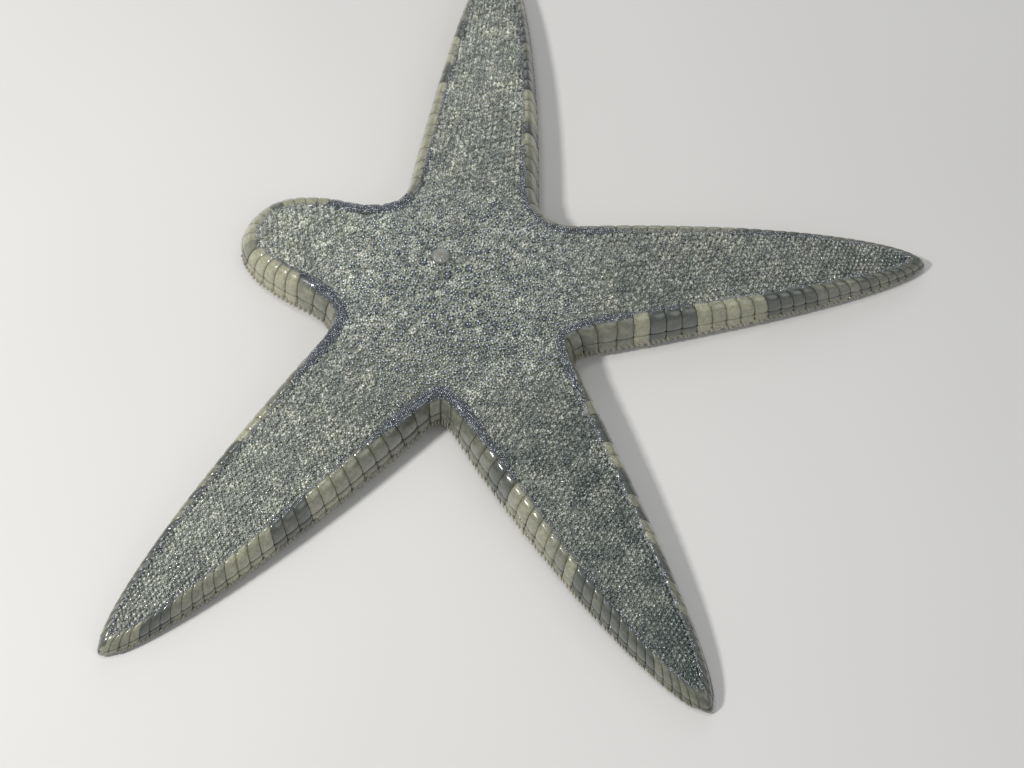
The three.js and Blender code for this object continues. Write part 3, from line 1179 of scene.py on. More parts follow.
@dataclass
class Skin:
    """One closed skin over disc and arms, inside the solids by the coat's depth."""

    plan: StarPlan
    material: Material
    coat_depth: float = 0.42
    plate_depth: float = 0.45
    under_gap: float = 0.2
    disc_steps: int = 9
    arm_steps: int = 40

    def depth(self, arm: Arm, s: Array) -> Array:
        """Finds the coat's depth, which is less toward the tip."""
        return self.coat_depth * (0.5 + 0.5 * self.plan.rim(arm, s) / self.plan.disc_height)

    def _lines(self) -> tuple[SkinLine, ...]:
        """Lists the lines that the skin is drawn over.

        Returns:
            The lines, from the middle of the top to the middle of the underside.
        """
        deep, gap = self.plate_depth, self.under_gap
        edge = [(5.6, 1.0, 0.2, 0.4), (4.1, 0.985, 0.1, 0.1), (2.6, 0.97, 0.0, 0.0),
                (1.3 + deep, 0.92, 0.0, 0.0), (0.65 + deep, 0.78, 0.0, 0.0), (0.25 + deep, 0.56, 0.0, 0.0),
                (deep, 0.32, 0.0, 0.0)]
        upper = [SkinLine(inset=inset, rise=rise, lift=lift, notch_lift=more)
                 for inset, rise, lift, more in edge]
        under = [SkinLine(inset=0.35 + deep, rise=0.06, lift=gap), SkinLine(inset=1.8, level=gap),
                 SkinLine(inset=2.4, level=gap)]
        furrow = [SkinLine(furrow=1.35, level=self.plan.furrow_lip + gap, back=3.9),
                  SkinLine(furrow=1.0, level=self.plan.furrow_depth, back=4.4), SkinLine(level=2.0)]
        return (SkinLine(rise=1.0), *upper, *under, *furrow)

    def _row(self, arm: Arm, side: Side, line: SkinLine, along: Array) -> Array:
        """Finds the points of one line.

        Args:
            arm: The arm.
            side: Which half of it.
            line: The line.
            along: 0 at the line's start, 1 where the arm starts and 2 at the tip.

        Returns:
            Rows of x, y and z.
        """
        plan = self.plan
        on_top = line.level is None and line.rise > 0.9
        if line.inset is not None and line.inset < 5:
            points = plan.edge(arm, side, along, line.inset, line.rise, line.lift)
            s = np.where(along < 1, plan.arm_start * 0.8,
                         plan.arm_start + (arm.reach - plan.arm_start) * (along - 1))
        else:
            points, s = self._inner_row(arm, side, line, along)
        if line.level is not None:
            points[:, 2] = np.minimum(line.level, 0.5 * plan.rim(arm, s))
        points[:, 2] += line.notch_lift * (1 - smoothstep(along))
        if on_top:
            points[:, 2] -= self.depth(arm, s)
        return points

    def _inner_row(self, arm: Arm, side: Side, line: SkinLine, along: Array) -> tuple[Array, Array]:
        """Finds the points of a line inside the rim: the ridge, its shoulder or the furrow.

        Args:
            arm: The arm.
            side: Which half of it.
            line: The line.
            along: 0 at the line's start, 1 where the arm starts and 2 at the tip.

        Returns:
            Rows of x, y and z, and how far out each lies.
        """
        plan, half = self.plan, self.plan.sector / 2
        back = float(plan.back(np.array(line.inset))) if line.inset is not None else line.back
        if line.inset is not None:
            start = (plan.notch_radius * 0.45 * math.cos(half), plan.notch_radius * 0.45 * math.sin(half))
        elif line.furrow is not None:
            start = (line.furrow / math.tan(half), line.furrow)
        else:
            start = (0.0, 0.0)
        arm_s = plan.arm_start + (arm.reach - back - plan.arm_start) * np.clip(along - 1, 0, 1)

        def half_width(s: Array) -> Array:
            """Finds how far aside the line runs."""
            furrow = (line.furrow or 0.0) * np.sqrt(1 - np.clip(s / (arm.reach - back), 0, 1) ** 8)
            return furrow if line.inset is None else plan.width(arm, np.array(line.inset), s)

        share = np.clip(along, 0, 1)
        s = np.where(along < 1, start[0] + (plan.arm_start - start[0]) * share, arm_s)
        end = half_width(np.array(plan.arm_start))
        t = np.where(along < 1, start[1] + (end - start[1]) * share, half_width(arm_s))
        t = np.where(along >= 2, 0, t)
        crown = plan.arm_crown if line.inset is None else line.lift
        rim = plan.rim(arm, np.maximum(s, plan.arm_start))
        z = rim + crown * rim / plan.disc_height
        middle = plan.middle_height if line.inset is None else plan.disc_height + line.lift
        z = np.where(along < 1, middle + (z - middle) * smoothstep(share), z)
        return at_height(plan.place(arm, s, side.value * t), z), s

    def build(self) -> Piece:
        """Builds the skin.

        Returns:
            The skin, finished and handed over.
        """
        maker = MeshMaker()
        lines = self._lines()
        for arm in self.plan.arms:
            steps = max(12, round(self.arm_steps * arm.reach / 56))
            outward = 1 - (1 - np.linspace(0, 1, steps)) ** 1.2
            along = np.concatenate((np.linspace(0, 1, self.disc_steps)[:-1], 1 + outward))
            for side in Side:
                grid = np.stack([self._row(arm, side, line, along) for line in lines])
                maker.add(grid, quads=grid_quads(len(lines), len(along), flipped=side is Side.LEFT))
        piece = maker.build("Skin", self.material)
        self._close(piece)
        self._mark_and_painted_light(piece)
        hand_over(piece, Slot.SKIN, "disc", *(f"arm_{arm.name}" for arm in self.plan.arms))
        return piece

    def _close(self, piece: Piece) -> None:
        """Joins the rows where they meet, and smooths the whole.

        Args:
            piece: The skin.
        """
        weld(piece, 0.01, 0.005)
        piece.modifiers.new("Round", "SUBSURF").levels = 1
        shaped = bpy.data.meshes.new_from_object(piece.evaluated_get(bpy.context.evaluated_depsgraph_get()))
        piece.modifiers.clear()
        piece.data = shaped

    def _mark_and_painted_light(self, piece: Piece) -> None:
        """Gives each point of the skin its pattern value with painted light, and says which are under the
        star.
        """
        set_values(piece.data, "mark", self.plan.mark(read_points(piece, "co")[:, :2] / MM))
        set_values(piece.data, "under", smoothstep(-read_points(piece, "normal")[:, 2], -0.2, 0.3))


# ---- the paxillae
@dataclass
class Tufts:
    """Many paxillae: their roots, axes, sizes and tones, one to a row."""

    places: Array
    first: Array
    second: Array
    upright: Array
    radius: Array
    height: Array
    big: Array
    roots: Array
    mark: Array
    tone: Array

    def take(self, rows: Array) -> "Tufts":
        """Picks rows, and repeats them where they are asked for again."""
        return Tufts(*(getattr(self, part.name)[rows] for part in fields(self)))

    def each(self, number: Array) -> tuple["Tufts", Array, Array]:
        """Repeats each as its number says, and gives each copy's place among its own and that number."""
        order = np.concatenate([np.arange(n) for n in number])
        return self.take(np.repeat(np.arange(len(number)), number)), order, np.repeat(number, number)

    def axes(self, wide: Array, high: Array) -> Array:
        """Makes each one's three axes, as long as it is wide and high."""
        lengths = np.stack((wide, wide, high), axis=1)[..., None]
        return np.stack((self.first, self.second, self.upright), axis=1) * lengths


@dataclass
class Paxillae:
    """The coat of the top: small columns, each crowned with beads and ringed with spinelets."""

    plan: StarPlan
    skin: Skin
    ground: Ground
    sieve: tuple[float, float, float]
    material: Material
    seed: int = 11
    rim_inset: float = 2.15
    rim_pitch: float = 0.68
    disc_reach: float = 13.4
    middle_pitch: float = 1.22
    arm_pitch: float = 0.77
    tip_pitch: float = 0.47
    pitch_run: float = 43.0
    crowded: float = 0.8
    pushes: int = 70
    spacing: float = 0.54
    parting: float = 0.58
    bead_room: float = 0.21
    most_beads: int = 8
    largest_bead: float = 0.19
    crown: float = 0.75
    bead: Template = Template.ball(7, 3, -0.55)
    small_bead: Template = Template.ball(7, 3, -0.35)
    spinelet: Template = Template.turned(((0, 0), (0.8, 0.04), (1.0, 0.6), (0, 1)), 4)
    table: Template = Template.turned(((0, -0.6), (0.8, 0.4), (0.55, 0.85), (0, 1)), 6)

    def build(self) -> None:
        """Builds every piece of the coat."""
        rng = np.random.default_rng(self.seed)
        disc, pitch = self._disc_spots(rng)
        number, _, _ = self.plan.nearest(disc)
        for arm in self.plan.arms:
            mine = number == arm.number
            self._piece(f"Paxillae_disc_{arm.name}", disc[mine], pitch[mine], rng)
            spots, sizes, s = self._arm_spots(arm, rng)
            inner = s < arm.reach * self.parting
            for label, half in (("inner", inner), ("outer", ~inner)):
                self._piece(f"Paxillae_{arm.name}_{label}", spots[half], sizes[half], rng)

    def _arm_spots(self, arm: Arm, rng: Draws) -> tuple[Array, Array, Array]:
        """Sets out an arm's paxillae in rows along it, each row shifted by half a step.

        Args:
            arm: The arm.
            rng: The source of the small shifts.

        Returns:
            Rows of x and y, the pitch at each, and how far out each lies.
        """
        rows = []
        most = int(arm.shoulder / self.tip_pitch)
        for row in range(-most, most + 1):
            s = self.disc_reach - 0.2 + (0.5 * self.arm_pitch if row % 2 else 0)
            while s < arm.reach - 2.6:
                share = ((s - self.disc_reach + 0.5) / self.pitch_run) ** 0.7
                pitch = self.arm_pitch + (self.tip_pitch - self.arm_pitch) * share
                rows.append((s, row * pitch * 0.9, pitch))
                s += pitch * 1.04
        s, t, pitch = np.array(rows).T
        s = s + rng.normal(0, 0.11, len(s)) * pitch
        t = t + rng.normal(0, 0.1, len(s)) * pitch
        inside = np.abs(t) < self.plan.width(arm, np.array(self.rim_inset), s) - 0.05
        s, t, pitch = s[inside], t[inside], pitch[inside]
        return self.plan.place(arm, s, t), pitch, s

    def _disc_pitch(self, spots: Array) -> Array:
        """Finds the pitch of the paxillae on the disc, widest near its middle."""
        radius = self.plan.radius(spots)
        return self.middle_pitch + (self.arm_pitch - self.middle_pitch) * smoothstep(radius, 2.0, 14.0)

    def _disc_spots(self, rng: Draws) -> tuple[Array, Array]:
        """Scatters the disc's paxillae, then lets them push each other apart.

        Args:
            rng: The source of the scatter.

        Returns:
            Rows of x and y, and the pitch at each.
        """
        rim = self.plan.outline(self.rim_inset)
        edge = self._rim_spots()
        fixed = np.concatenate([self._arm_spots(arm, np.random.default_rng(self.seed))[0]
                                for arm in self.plan.arms])
        fixed = np.concatenate((fixed[self.plan.radius(fixed) < self.disc_reach + 4], edge))
        reach, many = 16.0, 60000
        tries = rng.uniform(-reach, reach, (many, 2)) + (self.plan.centre_x, self.plan.centre_y)
        tries = tries[self._allowed(tries, rim)]
        chance = (2 * reach) ** 2 / many / (self.crowded * self._disc_pitch(tries) ** 2)
        spots = tries[rng.uniform(0, 1, len(tries)) < chance]
        sizes = self._disc_pitch(spots) * np.clip(rng.normal(1.0, 0.15, len(spots)), 0.68, 1.38)
        everyone_size = np.concatenate((sizes, np.full(len(fixed), self.arm_pitch)))
        wanted = self.spacing * (sizes[:, None] + everyone_size[None])
        itself = np.where(np.eye(len(spots), len(everyone_size)) > 0, 1e9, 0)
        for _ in range(self.pushes):
            apart = spots[:, None] - np.concatenate((spots, fixed))[None]
            distance = np.linalg.norm(apart, axis=2) + itself
            push = np.clip(wanted - distance, 0, None)[..., None] * apart / distance[..., None]
            moved = spots + 0.3 * push.sum(axis=1)
            ok = self._allowed(moved, rim)
            spots = np.where(ok[:, None], moved, spots)
        return np.concatenate((spots, edge)), np.concatenate((sizes, np.full(len(edge), self.rim_pitch)))

    def _rim_spots(self) -> Array:
        """Sets out the even row that meets the edge plates round each notch.

        Returns:
            Rows of x and y.
        """
        line = self.plan.outline(self.rim_inset + 0.15, 60)
        line = np.concatenate((line, line[:1]))
        run = lengths_along(line)
        steps = np.arange(0, run[-1], self.rim_pitch)
        spots = np.stack([np.interp(steps, run, line[:, axis]) for axis in range(2)], axis=1)
        return spots[self.plan.nearest(spots)[1] < self.disc_reach - 0.35]

    def _allowed(self, spots: Array, rim: Array) -> Array:
        """Says which spots lie on the disc, inside the rim and clear of the madreporite."""
        clear = np.hypot(*(spots - self.sieve[:2]).T) > self.sieve[2] + 0.42
        return self.plan.inside(spots, rim) & clear & (self.plan.nearest(spots)[1] < self.disc_reach - 0.35)

    def _piece(self, name: str, spots: Array, pitch: Array, rng: Draws) -> None:
        """Builds one piece of the coat.

        Args:
            name: The piece's name.
            spots: Rows of x and y.
            pitch: The pitch at each spot.
            rng: Random draws.
        """
        met, places, facing = self.ground.drop(spots)
        spots, pitch = spots[met], pitch[met]
        facing = unit(facing + UP * 0.35)
        number, s, t = self.plan.nearest(spots)
        depth = np.array([self.skin.depth(self.plan.arms[n], out) for n, out in zip(number, s)])
        big = 1 - smoothstep(s, 10.5, 20)
        radius = pitch * rng.uniform(0.44 + 0.04 * big, 0.52 + 0.03 * big)
        oval = np.exp(rng.normal(0, 0.1, len(spots)))
        first, second = across_pair(facing, rng.uniform(0, 2 * math.pi, len(spots)))
        group = Tufts(places, first * oval[:, None], second / oval[:, None], facing, radius,
                      depth * rng.uniform(0.92, 1.12, len(spots)), big, self._flattened(s, t),
                      self.plan.mark(spots), rng.beta(4.5 - 3.5 * big, 4.5 - 2.4 * big))
        maker = MeshMaker()
        axes = group.axes(radius * 0.72, group.height * 0.8)
        tone = group.tone * (0.8 - 0.3 * big)
        maker.stamp(self.table, places, axes, group.roots, tone=tone, spinelet=0.0, glint=0.0,
                    mark=group.mark)
        self._beads(maker, group, rng)
        self._spinelets(maker, group, rng)
        hand_over(maker.build(name, self.material), Slot.PAXILLAE)

    def _flattened(self, s: Array, t: Array) -> Array:
        """Lays spots out flat in a unit square, along and across their arm.

        Args:
            s: Distances outward.
            t: Distances to the left.

        Returns:
            Rows of two shares.
        """
        spots = np.stack((s, t), axis=1)
        low, high = spots.min(axis=0) - 0.6, spots.max(axis=0) + 0.6
        return 0.01 + 0.98 * (spots - low) / (high - low)

    def _beads(self, maker: MeshMaker, group: Tufts, rng: Draws) -> None:
        """Sets the beads on each paxilla, spiralling out from its middle.

        Args:
            maker: Where they are added.
            group: The paxillae.
            rng: Random draws.
        """
        number = np.clip(np.round((group.radius / self.bead_room) ** 2), 1, self.most_beads).astype(int)
        number = np.where(group.big > 0.5, np.maximum(number, 3), number)
        own, order, many = group.each(number)
        count = len(order)
        crown = own.radius * self.crown
        out = np.where(many == 1, 0.1, np.sqrt((order + 0.4) / many))
        angle = order * GOLDEN_ANGLE + rng.normal(0, 0.16, count)
        size = np.minimum(crown / np.sqrt(many), self.largest_bead) * rng.uniform(0.76, 1.0, count)
        x, y = crown * out * np.cos(angle), crown * out * np.sin(angle)
        aside = own.first * x[:, None] + own.second * y[:, None]
        z = own.height * (0.9 - (0.24 + 0.12 * own.big) * out ** 2) - size * 0.35
        lean = unit(own.upright + aside / own.radius[:, None] * 0.5)
        axes = round_axes(lean * size[:, None] * 1.15, size, rng.uniform(0, 6, count))
        tone = np.clip(own.tone + rng.normal(0, 0.05 + 0.03 * own.big), 0, 1)
        # glint: how pale each bead's top is painted, partly as a painted highlight; strongest on most middle
        # beads.
        lead = rng.uniform(0, 1, count) < np.where(order == 0, 0.65, 0.18)
        glint = np.where(lead, rng.uniform(0.6, 1.0, count), rng.beta(0.6, 1.6, count))
        glint = glint * (0.35 + 0.65 * own.big)
        middles = own.places + aside + own.upright * z[:, None]
        roots = own.roots + np.stack((x, y), axis=1) * (0.0035 / 0.3)
        for template, chosen in ((self.bead, own.big > 0.4), (self.small_bead, own.big <= 0.4)):
            maker.stamp(template, middles[chosen], axes[chosen], roots[chosen], tone=tone[chosen],
                        spinelet=0.0, glint=glint[chosen], mark=own.mark[chosen])

    def _spinelets(self, maker: MeshMaker, group: Tufts, rng: Draws) -> None:
        """Sets the ring of spinelets round each paxilla, leaning outward.

        Args:
            maker: Where they are added.
            group: The paxillae.
            rng: Random draws.
        """
        number = np.clip(np.round(group.radius * 2 * math.pi / (0.26 - 0.07 * group.big)), 6, 22).astype(int)
        own, order, many = group.each(number)
        count = len(order)
        angle = 2 * math.pi * (order + rng.uniform(-0.3, 0.3, count)) / many
        aside = own.first * np.cos(angle)[:, None] + own.second * np.sin(angle)[:, None]
        start, end = own.radius * 0.62, own.radius * rng.uniform(0.94, 1.2, count)
        low, high = own.height * 0.3, own.height * rng.uniform(0.5, 0.86, count)
        middles = own.places + aside * start[:, None] + own.upright * low[:, None]
        along = aside * (end - start)[:, None] + own.upright * (high - low)[:, None]
        thick = np.pi * own.radius / many * 0.7
        tone = 0.16 + 0.34 * own.tone + (0.44 - 0.26 * own.tone) * own.big
        tone = np.clip(tone + rng.normal(0, 0.08 + 0.08 * own.big), 0, 1)
        roots = own.roots + np.stack((np.cos(angle), np.sin(angle)), axis=1) * 0.0035
        maker.stamp(self.spinelet, middles, round_axes(along, thick, 0.6), roots, tone=tone, spinelet=1.0,
                    glint=0.0, mark=own.mark)


# ---- edge plates and their granules
@dataclass(frozen=True)
class PlateRow:
    """A row of edge plates, as pairs of inset and rise from its upper edge to its lower one."""

    label: str
    insets: tuple[float, ...]
    rises: tuple[float, ...]

    def at(self, share: Array) -> tuple[Array, Array]:
        """Reads the row's outline, softened at its corners.

        Args:
            share: Shares of the way from its upper edge to its lower one.

        Returns:
            The insets and the rises.
        """
        knots, fine = np.linspace(0, 1, len(self.insets)), np.linspace(0, 1, 81)
        lines = (np.pad(np.interp(fine, knots, values), 4, mode="edge")
                 for values in (self.insets, self.rises))
        return tuple(np.interp(share, fine, np.convolve(line, np.ones(9) / 9, mode="valid"))
                     for line in lines)


UPPER_ROW = PlateRow("upper", insets=(2.5, 2.1, 1.6, 1.1, 0.65, 0.38, 0.22, 0.12, 0.1),
                     rises=(0.92, 0.965, 0.985, 0.94, 0.84, 0.73, 0.62, 0.53, 0.47))
LOWER_ROW = PlateRow("lower", insets=(0.1, 0.0, -0.1, -0.2, -0.14, 0.15, 0.6, 1.2, 1.9, 2.5),
                     rises=(0.485, 0.45, 0.37, 0.29, 0.19, 0.1, 0.035, 0.012, 0.012, 0.03))


@dataclass
class EdgePlates:
    """The two rows of block-like plates round the star's edge."""

    plan: StarPlan
    material: Material
    relief: float = 0.13
    roundness: float = 5.0
    root_depth: float = 0.8
    under_tone: float = 0.8
    across: int = 11
    along: int = 9
    seed: int = 5

    def build(self) -> list[Piece]:
        """Builds both rows of every arm.

        Returns:
            The upper rows' pieces.
        """
        upper = [self._piece(arm, UPPER_ROW) for arm in self.plan.arms]
        for arm in self.plan.arms:
            self._piece(arm, LOWER_ROW)
        return upper

    def _piece(self, arm: Arm, row: PlateRow) -> Piece:
        """Builds the plates of one row on both sides of an arm.

        Args:
            arm: The arm.
            row: The row.

        Returns:
            The piece.
        """
        rng = np.random.default_rng(self.seed + arm.number)
        maker = MeshMaker(flat_triangles=True)
        for side in Side:
            self._plates(maker, arm, side, row, rng)
        piece = maker.build(f"Edge_plates_{row.label}_{arm.name}", self.material)
        hand_over(piece, Slot.EDGE_PLATES)
        return piece

    def _plates(self, maker: MeshMaker, arm: Arm, side: Side, row: PlateRow, rng: Draws) -> None:
        """Builds the plates of one row on one side of an arm.

        Args:
            maker: Where they are added.
            arm: The arm.
            side: The side.
            row: The row.
            rng: Random draws.
        """
        plan, seams = self.plan, self.plan.seams(arm)
        shape = (len(seams) - 1, self.along, self.across)
        u, v = (0.5 - 0.5 * np.cos(np.linspace(0, math.pi, steps)) for steps in shape[1:])
        inset, rise = row.at(v)
        places, lengths = plan.run(arm, side)
        at = np.interp(seams, places, lengths)
        along = np.interp(at[:-1, None] + np.diff(at)[:, None] * u, lengths, places)[:, :, None]
        seam, brim = np.abs(2 * u - 1)[:, None], np.abs(2 * v - 1)
        fall = (seam ** self.roundness + 0.45 * brim ** 8) * rng.uniform(0.8, 1.15, (shape[0], 1, 1))
        points = self._rounded(arm, side, along, plan.edge(arm, side, along, inset, rise), fall)
        tone = arm.tone(side, plan.outward(arm, (seams[:-1] + seams[1:]) / 2))
        tone = np.clip(tone + rng.normal(0, 0.07, shape[0]), 0, 1)[:, None, None]
        under = smoothstep(inset, 0.3, 1.3) * (row is LOWER_ROW)
        bare = smoothstep(tone, 0.6, 0.9) * (1 - smoothstep(inset, 1.7, 2.1))
        crest = smoothstep(inset - plan.crest(arm, side, along), -0.1, 0.3)
        crest = crest * (1 - 0.8 * bare) * (row is UPPER_ROW)
        crest = crest * (1 - 0.7 * plan.worn(arm, along)) * (1 - 0.7 * smoothstep(inset, 2.0, 2.4))

        def spread(values: Array, last: Array | float = 1.0) -> Array:
            """Spreads values over the grid of every plate, and adds the one of its last point."""
            grid = np.broadcast_to(values, shape).reshape(shape[0], -1)
            return np.column_stack((grid, np.broadcast_to(last, shape[0])))

        quads, fan = self._faces(side)
        starts = np.arange(shape[0])[:, None, None] * points.shape[1]
        # seam: darker along each plate's seams and, fainter, its upper and lower edges; joint colour and
        # painted shade.
        maker.add(points, triangles=fan + starts, quads=quads + starts, crest=spread(crest),
                  seam=spread(np.maximum(seam ** 4, 0.35 * brim ** 9)),
                  tone=spread(tone + (self.under_tone - tone) * under, tone.ravel()))

    def _rounded(self, arm: Arm, side: Side, along: Array, grid: Array, fall: Array) -> Array:
        """Rounds plates off toward their seams, and adds a point below the middle of each.

        Args:
            arm: The arm.
            side: The side.
            along: Places along the edge.
            grid: The points of every plate's grid.
            fall: How far each falls, as a share of the relief.

        Returns:
            The points of every plate.
        """
        normal = unit(np.cross(np.gradient(grid, axis=1), np.gradient(grid, axis=2))) * side.value
        rim = self.plan.rim(arm, self.plan.outward(arm, along[:, :1]) * arm.reach) / self.plan.disc_height
        grid = grid - normal * (fall * self.relief * (0.45 + 0.55 * rim))[..., None]
        m, n = self.along // 2, self.across // 2
        middles = grid[:, m, n] - normal[:, m, n] * self.root_depth * rim[:, 0, 0, None]
        return np.concatenate((grid.reshape(len(grid), -1, 3), middles[:, None]), axis=1)

    def _faces(self, side: Side) -> tuple[Array, Array]:
        """Lists the faces of one plate.

        Args:
            side: The side that it is on.

        Returns:
            The squares of its grid, and the triangles between the grid's border and the last point.
        """
        numbers = np.arange(self.along * self.across).reshape(self.along, self.across)
        ring = np.concatenate((numbers[0], numbers[1:, -1], numbers[-1, -2::-1], numbers[-2:0:-1, 0]))
        fan = np.stack((ring, np.full(len(ring), numbers.size), np.roll(ring, -1)), axis=1)
        flipped = side is Side.RIGHT
        return grid_quads(self.along, self.across, flipped), fan[:, ::-1] if flipped else fan


@dataclass
class CrestGranules:
    """The fine dark granules that run along the crest of the upper edge plates."""

    plan: StarPlan
    ground: Ground
    material: Material
    pitch: float = 0.23
    first_inset: float = 0.95
    last_inset: float = 2.55
    seed: int = 23
    bead: Template = Template.ball(5, 2, -0.4)

    def build(self) -> None:
        """Builds the granules of every arm."""
        rng = np.random.default_rng(self.seed)
        insets = np.arange(self.first_inset, self.last_inset, self.pitch * 0.9)
        for arm in self.plan.arms:
            rows = [self._row(arm, side, insets, row, rng) for side in Side for row in range(len(insets))]
            spots, sizes, tones, flat = (np.concatenate(part) for part in zip(*rows))
            met, places, facing = self.ground.drop(spots)
            facing, sizes = unit(facing + UP * 0.2), sizes[met]
            axes = round_axes(facing * sizes[:, None] * 0.95, sizes)
            # glint: how pale each granule's top is painted, partly as a painted highlight.
            glint = rng.beta(0.5, 0.7, len(sizes))
            maker = MeshMaker()
            maker.stamp(self.bead, places + facing * 0.02, axes, flat[met], tone=tones[met], glint=glint)
            hand_over(maker.build(f"Crest_granules_{arm.name}", self.material), Slot.PAXILLAE)

    def _row(self, arm: Arm, side: Side, insets: Array, row: int,
             rng: Draws) -> tuple[Array, Array, Array, Array]:
        """Sets out one row of granules, a pitch apart, with gaps where the crest is bare or worn.

        Args:
            arm: The arm.
            side: The side.
            insets: How far in from the side the rows run.
            row: The row's number, which shifts it by half a pitch.
            rng: Random draws.

        Returns:
            Rows of x and y, and for each granule its radius, its tone and its place on the flattened crest.
        """
        plan, inset = self.plan, insets[row]
        fine, run = plan.run(arm, side, inset)
        share = plan.outward(arm, fine)
        count = np.concatenate(((0,), np.cumsum(np.diff(run) / (self.pitch * (1.04 - 0.3 * share[1:])))))
        along = np.interp(np.arange(0.25 + 0.5 * (row % 2), count[-1]), count, fine)
        bare = (arm.tone(side, plan.outward(arm, along)) > 0.6) & (inset < 1.8)
        kept = np.where(bare, 0.06, 1 - 0.6 * plan.worn(arm, along) * (inset < 2.1))
        kept = kept * smoothstep(inset - plan.crest(arm, side, along), -0.15, 0.15)
        along = along[rng.uniform(0, 1, len(along)) < kept]
        along = along + rng.normal(0, 0.0012, len(along))
        spots = plan.edge(arm, side, along, inset + rng.normal(0, 0.04, len(along)), 1.0)[:, :2]
        share = plan.outward(arm, along)
        sizes = self.pitch * (0.56 - 0.12 * share) * rng.uniform(0.8, 1.1, len(along))
        tones = 0.06 + (0.14 + 0.25 * arm.tone(side, share)) * plan.worn(arm, along)
        tones = np.clip(tones + rng.beta(1, 7, len(along)) * 0.8, 0, 1)
        aside = 0.5 + side.value * (0.1 + 0.35 * row / len(insets))
        return spots, sizes, tones, np.column_stack((0.02 + 0.96 * along / 2, np.full(len(along), aside)))


# ---- fringe and underside
@dataclass
class Fringe:
    """The flat spines that lie against the lower edge plates."""

    plan: StarPlan
    material: Material
    per_plate: int = 3
    length: float = 1.25
    width: float = 0.27
    thickness: float = 0.09
    seed: int = 31
    blade: Template = Template.turned(((0, 0), (0.6, 0.03), (1.0, 0.4), (0.8, 0.75), (0, 1)), 6)

    def build(self) -> None:
        """Builds the fringe of every arm."""
        plan, rng = self.plan, np.random.default_rng(self.seed)
        for arm in plan.arms:
            maker = MeshMaker()
            for side in Side:
                seams = plan.seams(arm)[:-2]
                steps = (np.arange(self.per_plate) + 0.5) / self.per_plate
                along = (seams[:-1, None] + np.diff(seams)[:, None] * steps).ravel()
                along = along + rng.normal(0, 0.002, len(along))
                s = plan.outward(arm, along) * arm.reach
                size = plan.rim(arm, s) / plan.disc_height
                middle = at_height(plan.place(arm, s, np.zeros_like(s)), 1.0)
                roots = plan.edge(arm, side, along, -0.12, 0.33)
                ends = plan.edge(arm, side, along + 0.012, -0.3 + rng.normal(0, 0.03, len(along)), 0.06)
                way = unit(ends - roots)
                outward = unit(np.cross(way, np.cross(unit(roots - middle), way)))
                length = self.length * (0.45 + 0.55 * size) * rng.uniform(0.88, 1.1, len(along))
                wide = unit(np.cross(way, outward))
                axes = np.stack((wide * self.width * size[:, None] ** 0.5, outward * self.thickness,
                                 way * length[:, None]), axis=1)
                tone = np.clip(arm.tone(side, plan.outward(arm, along)) * 0.45 + 0.2, 0, 1)
                maker.stamp(self.blade, roots, axes, tone=tone)
            hand_over(maker.build(f"Fringe_spines_{arm.name}", self.material), Slot.SPINES)


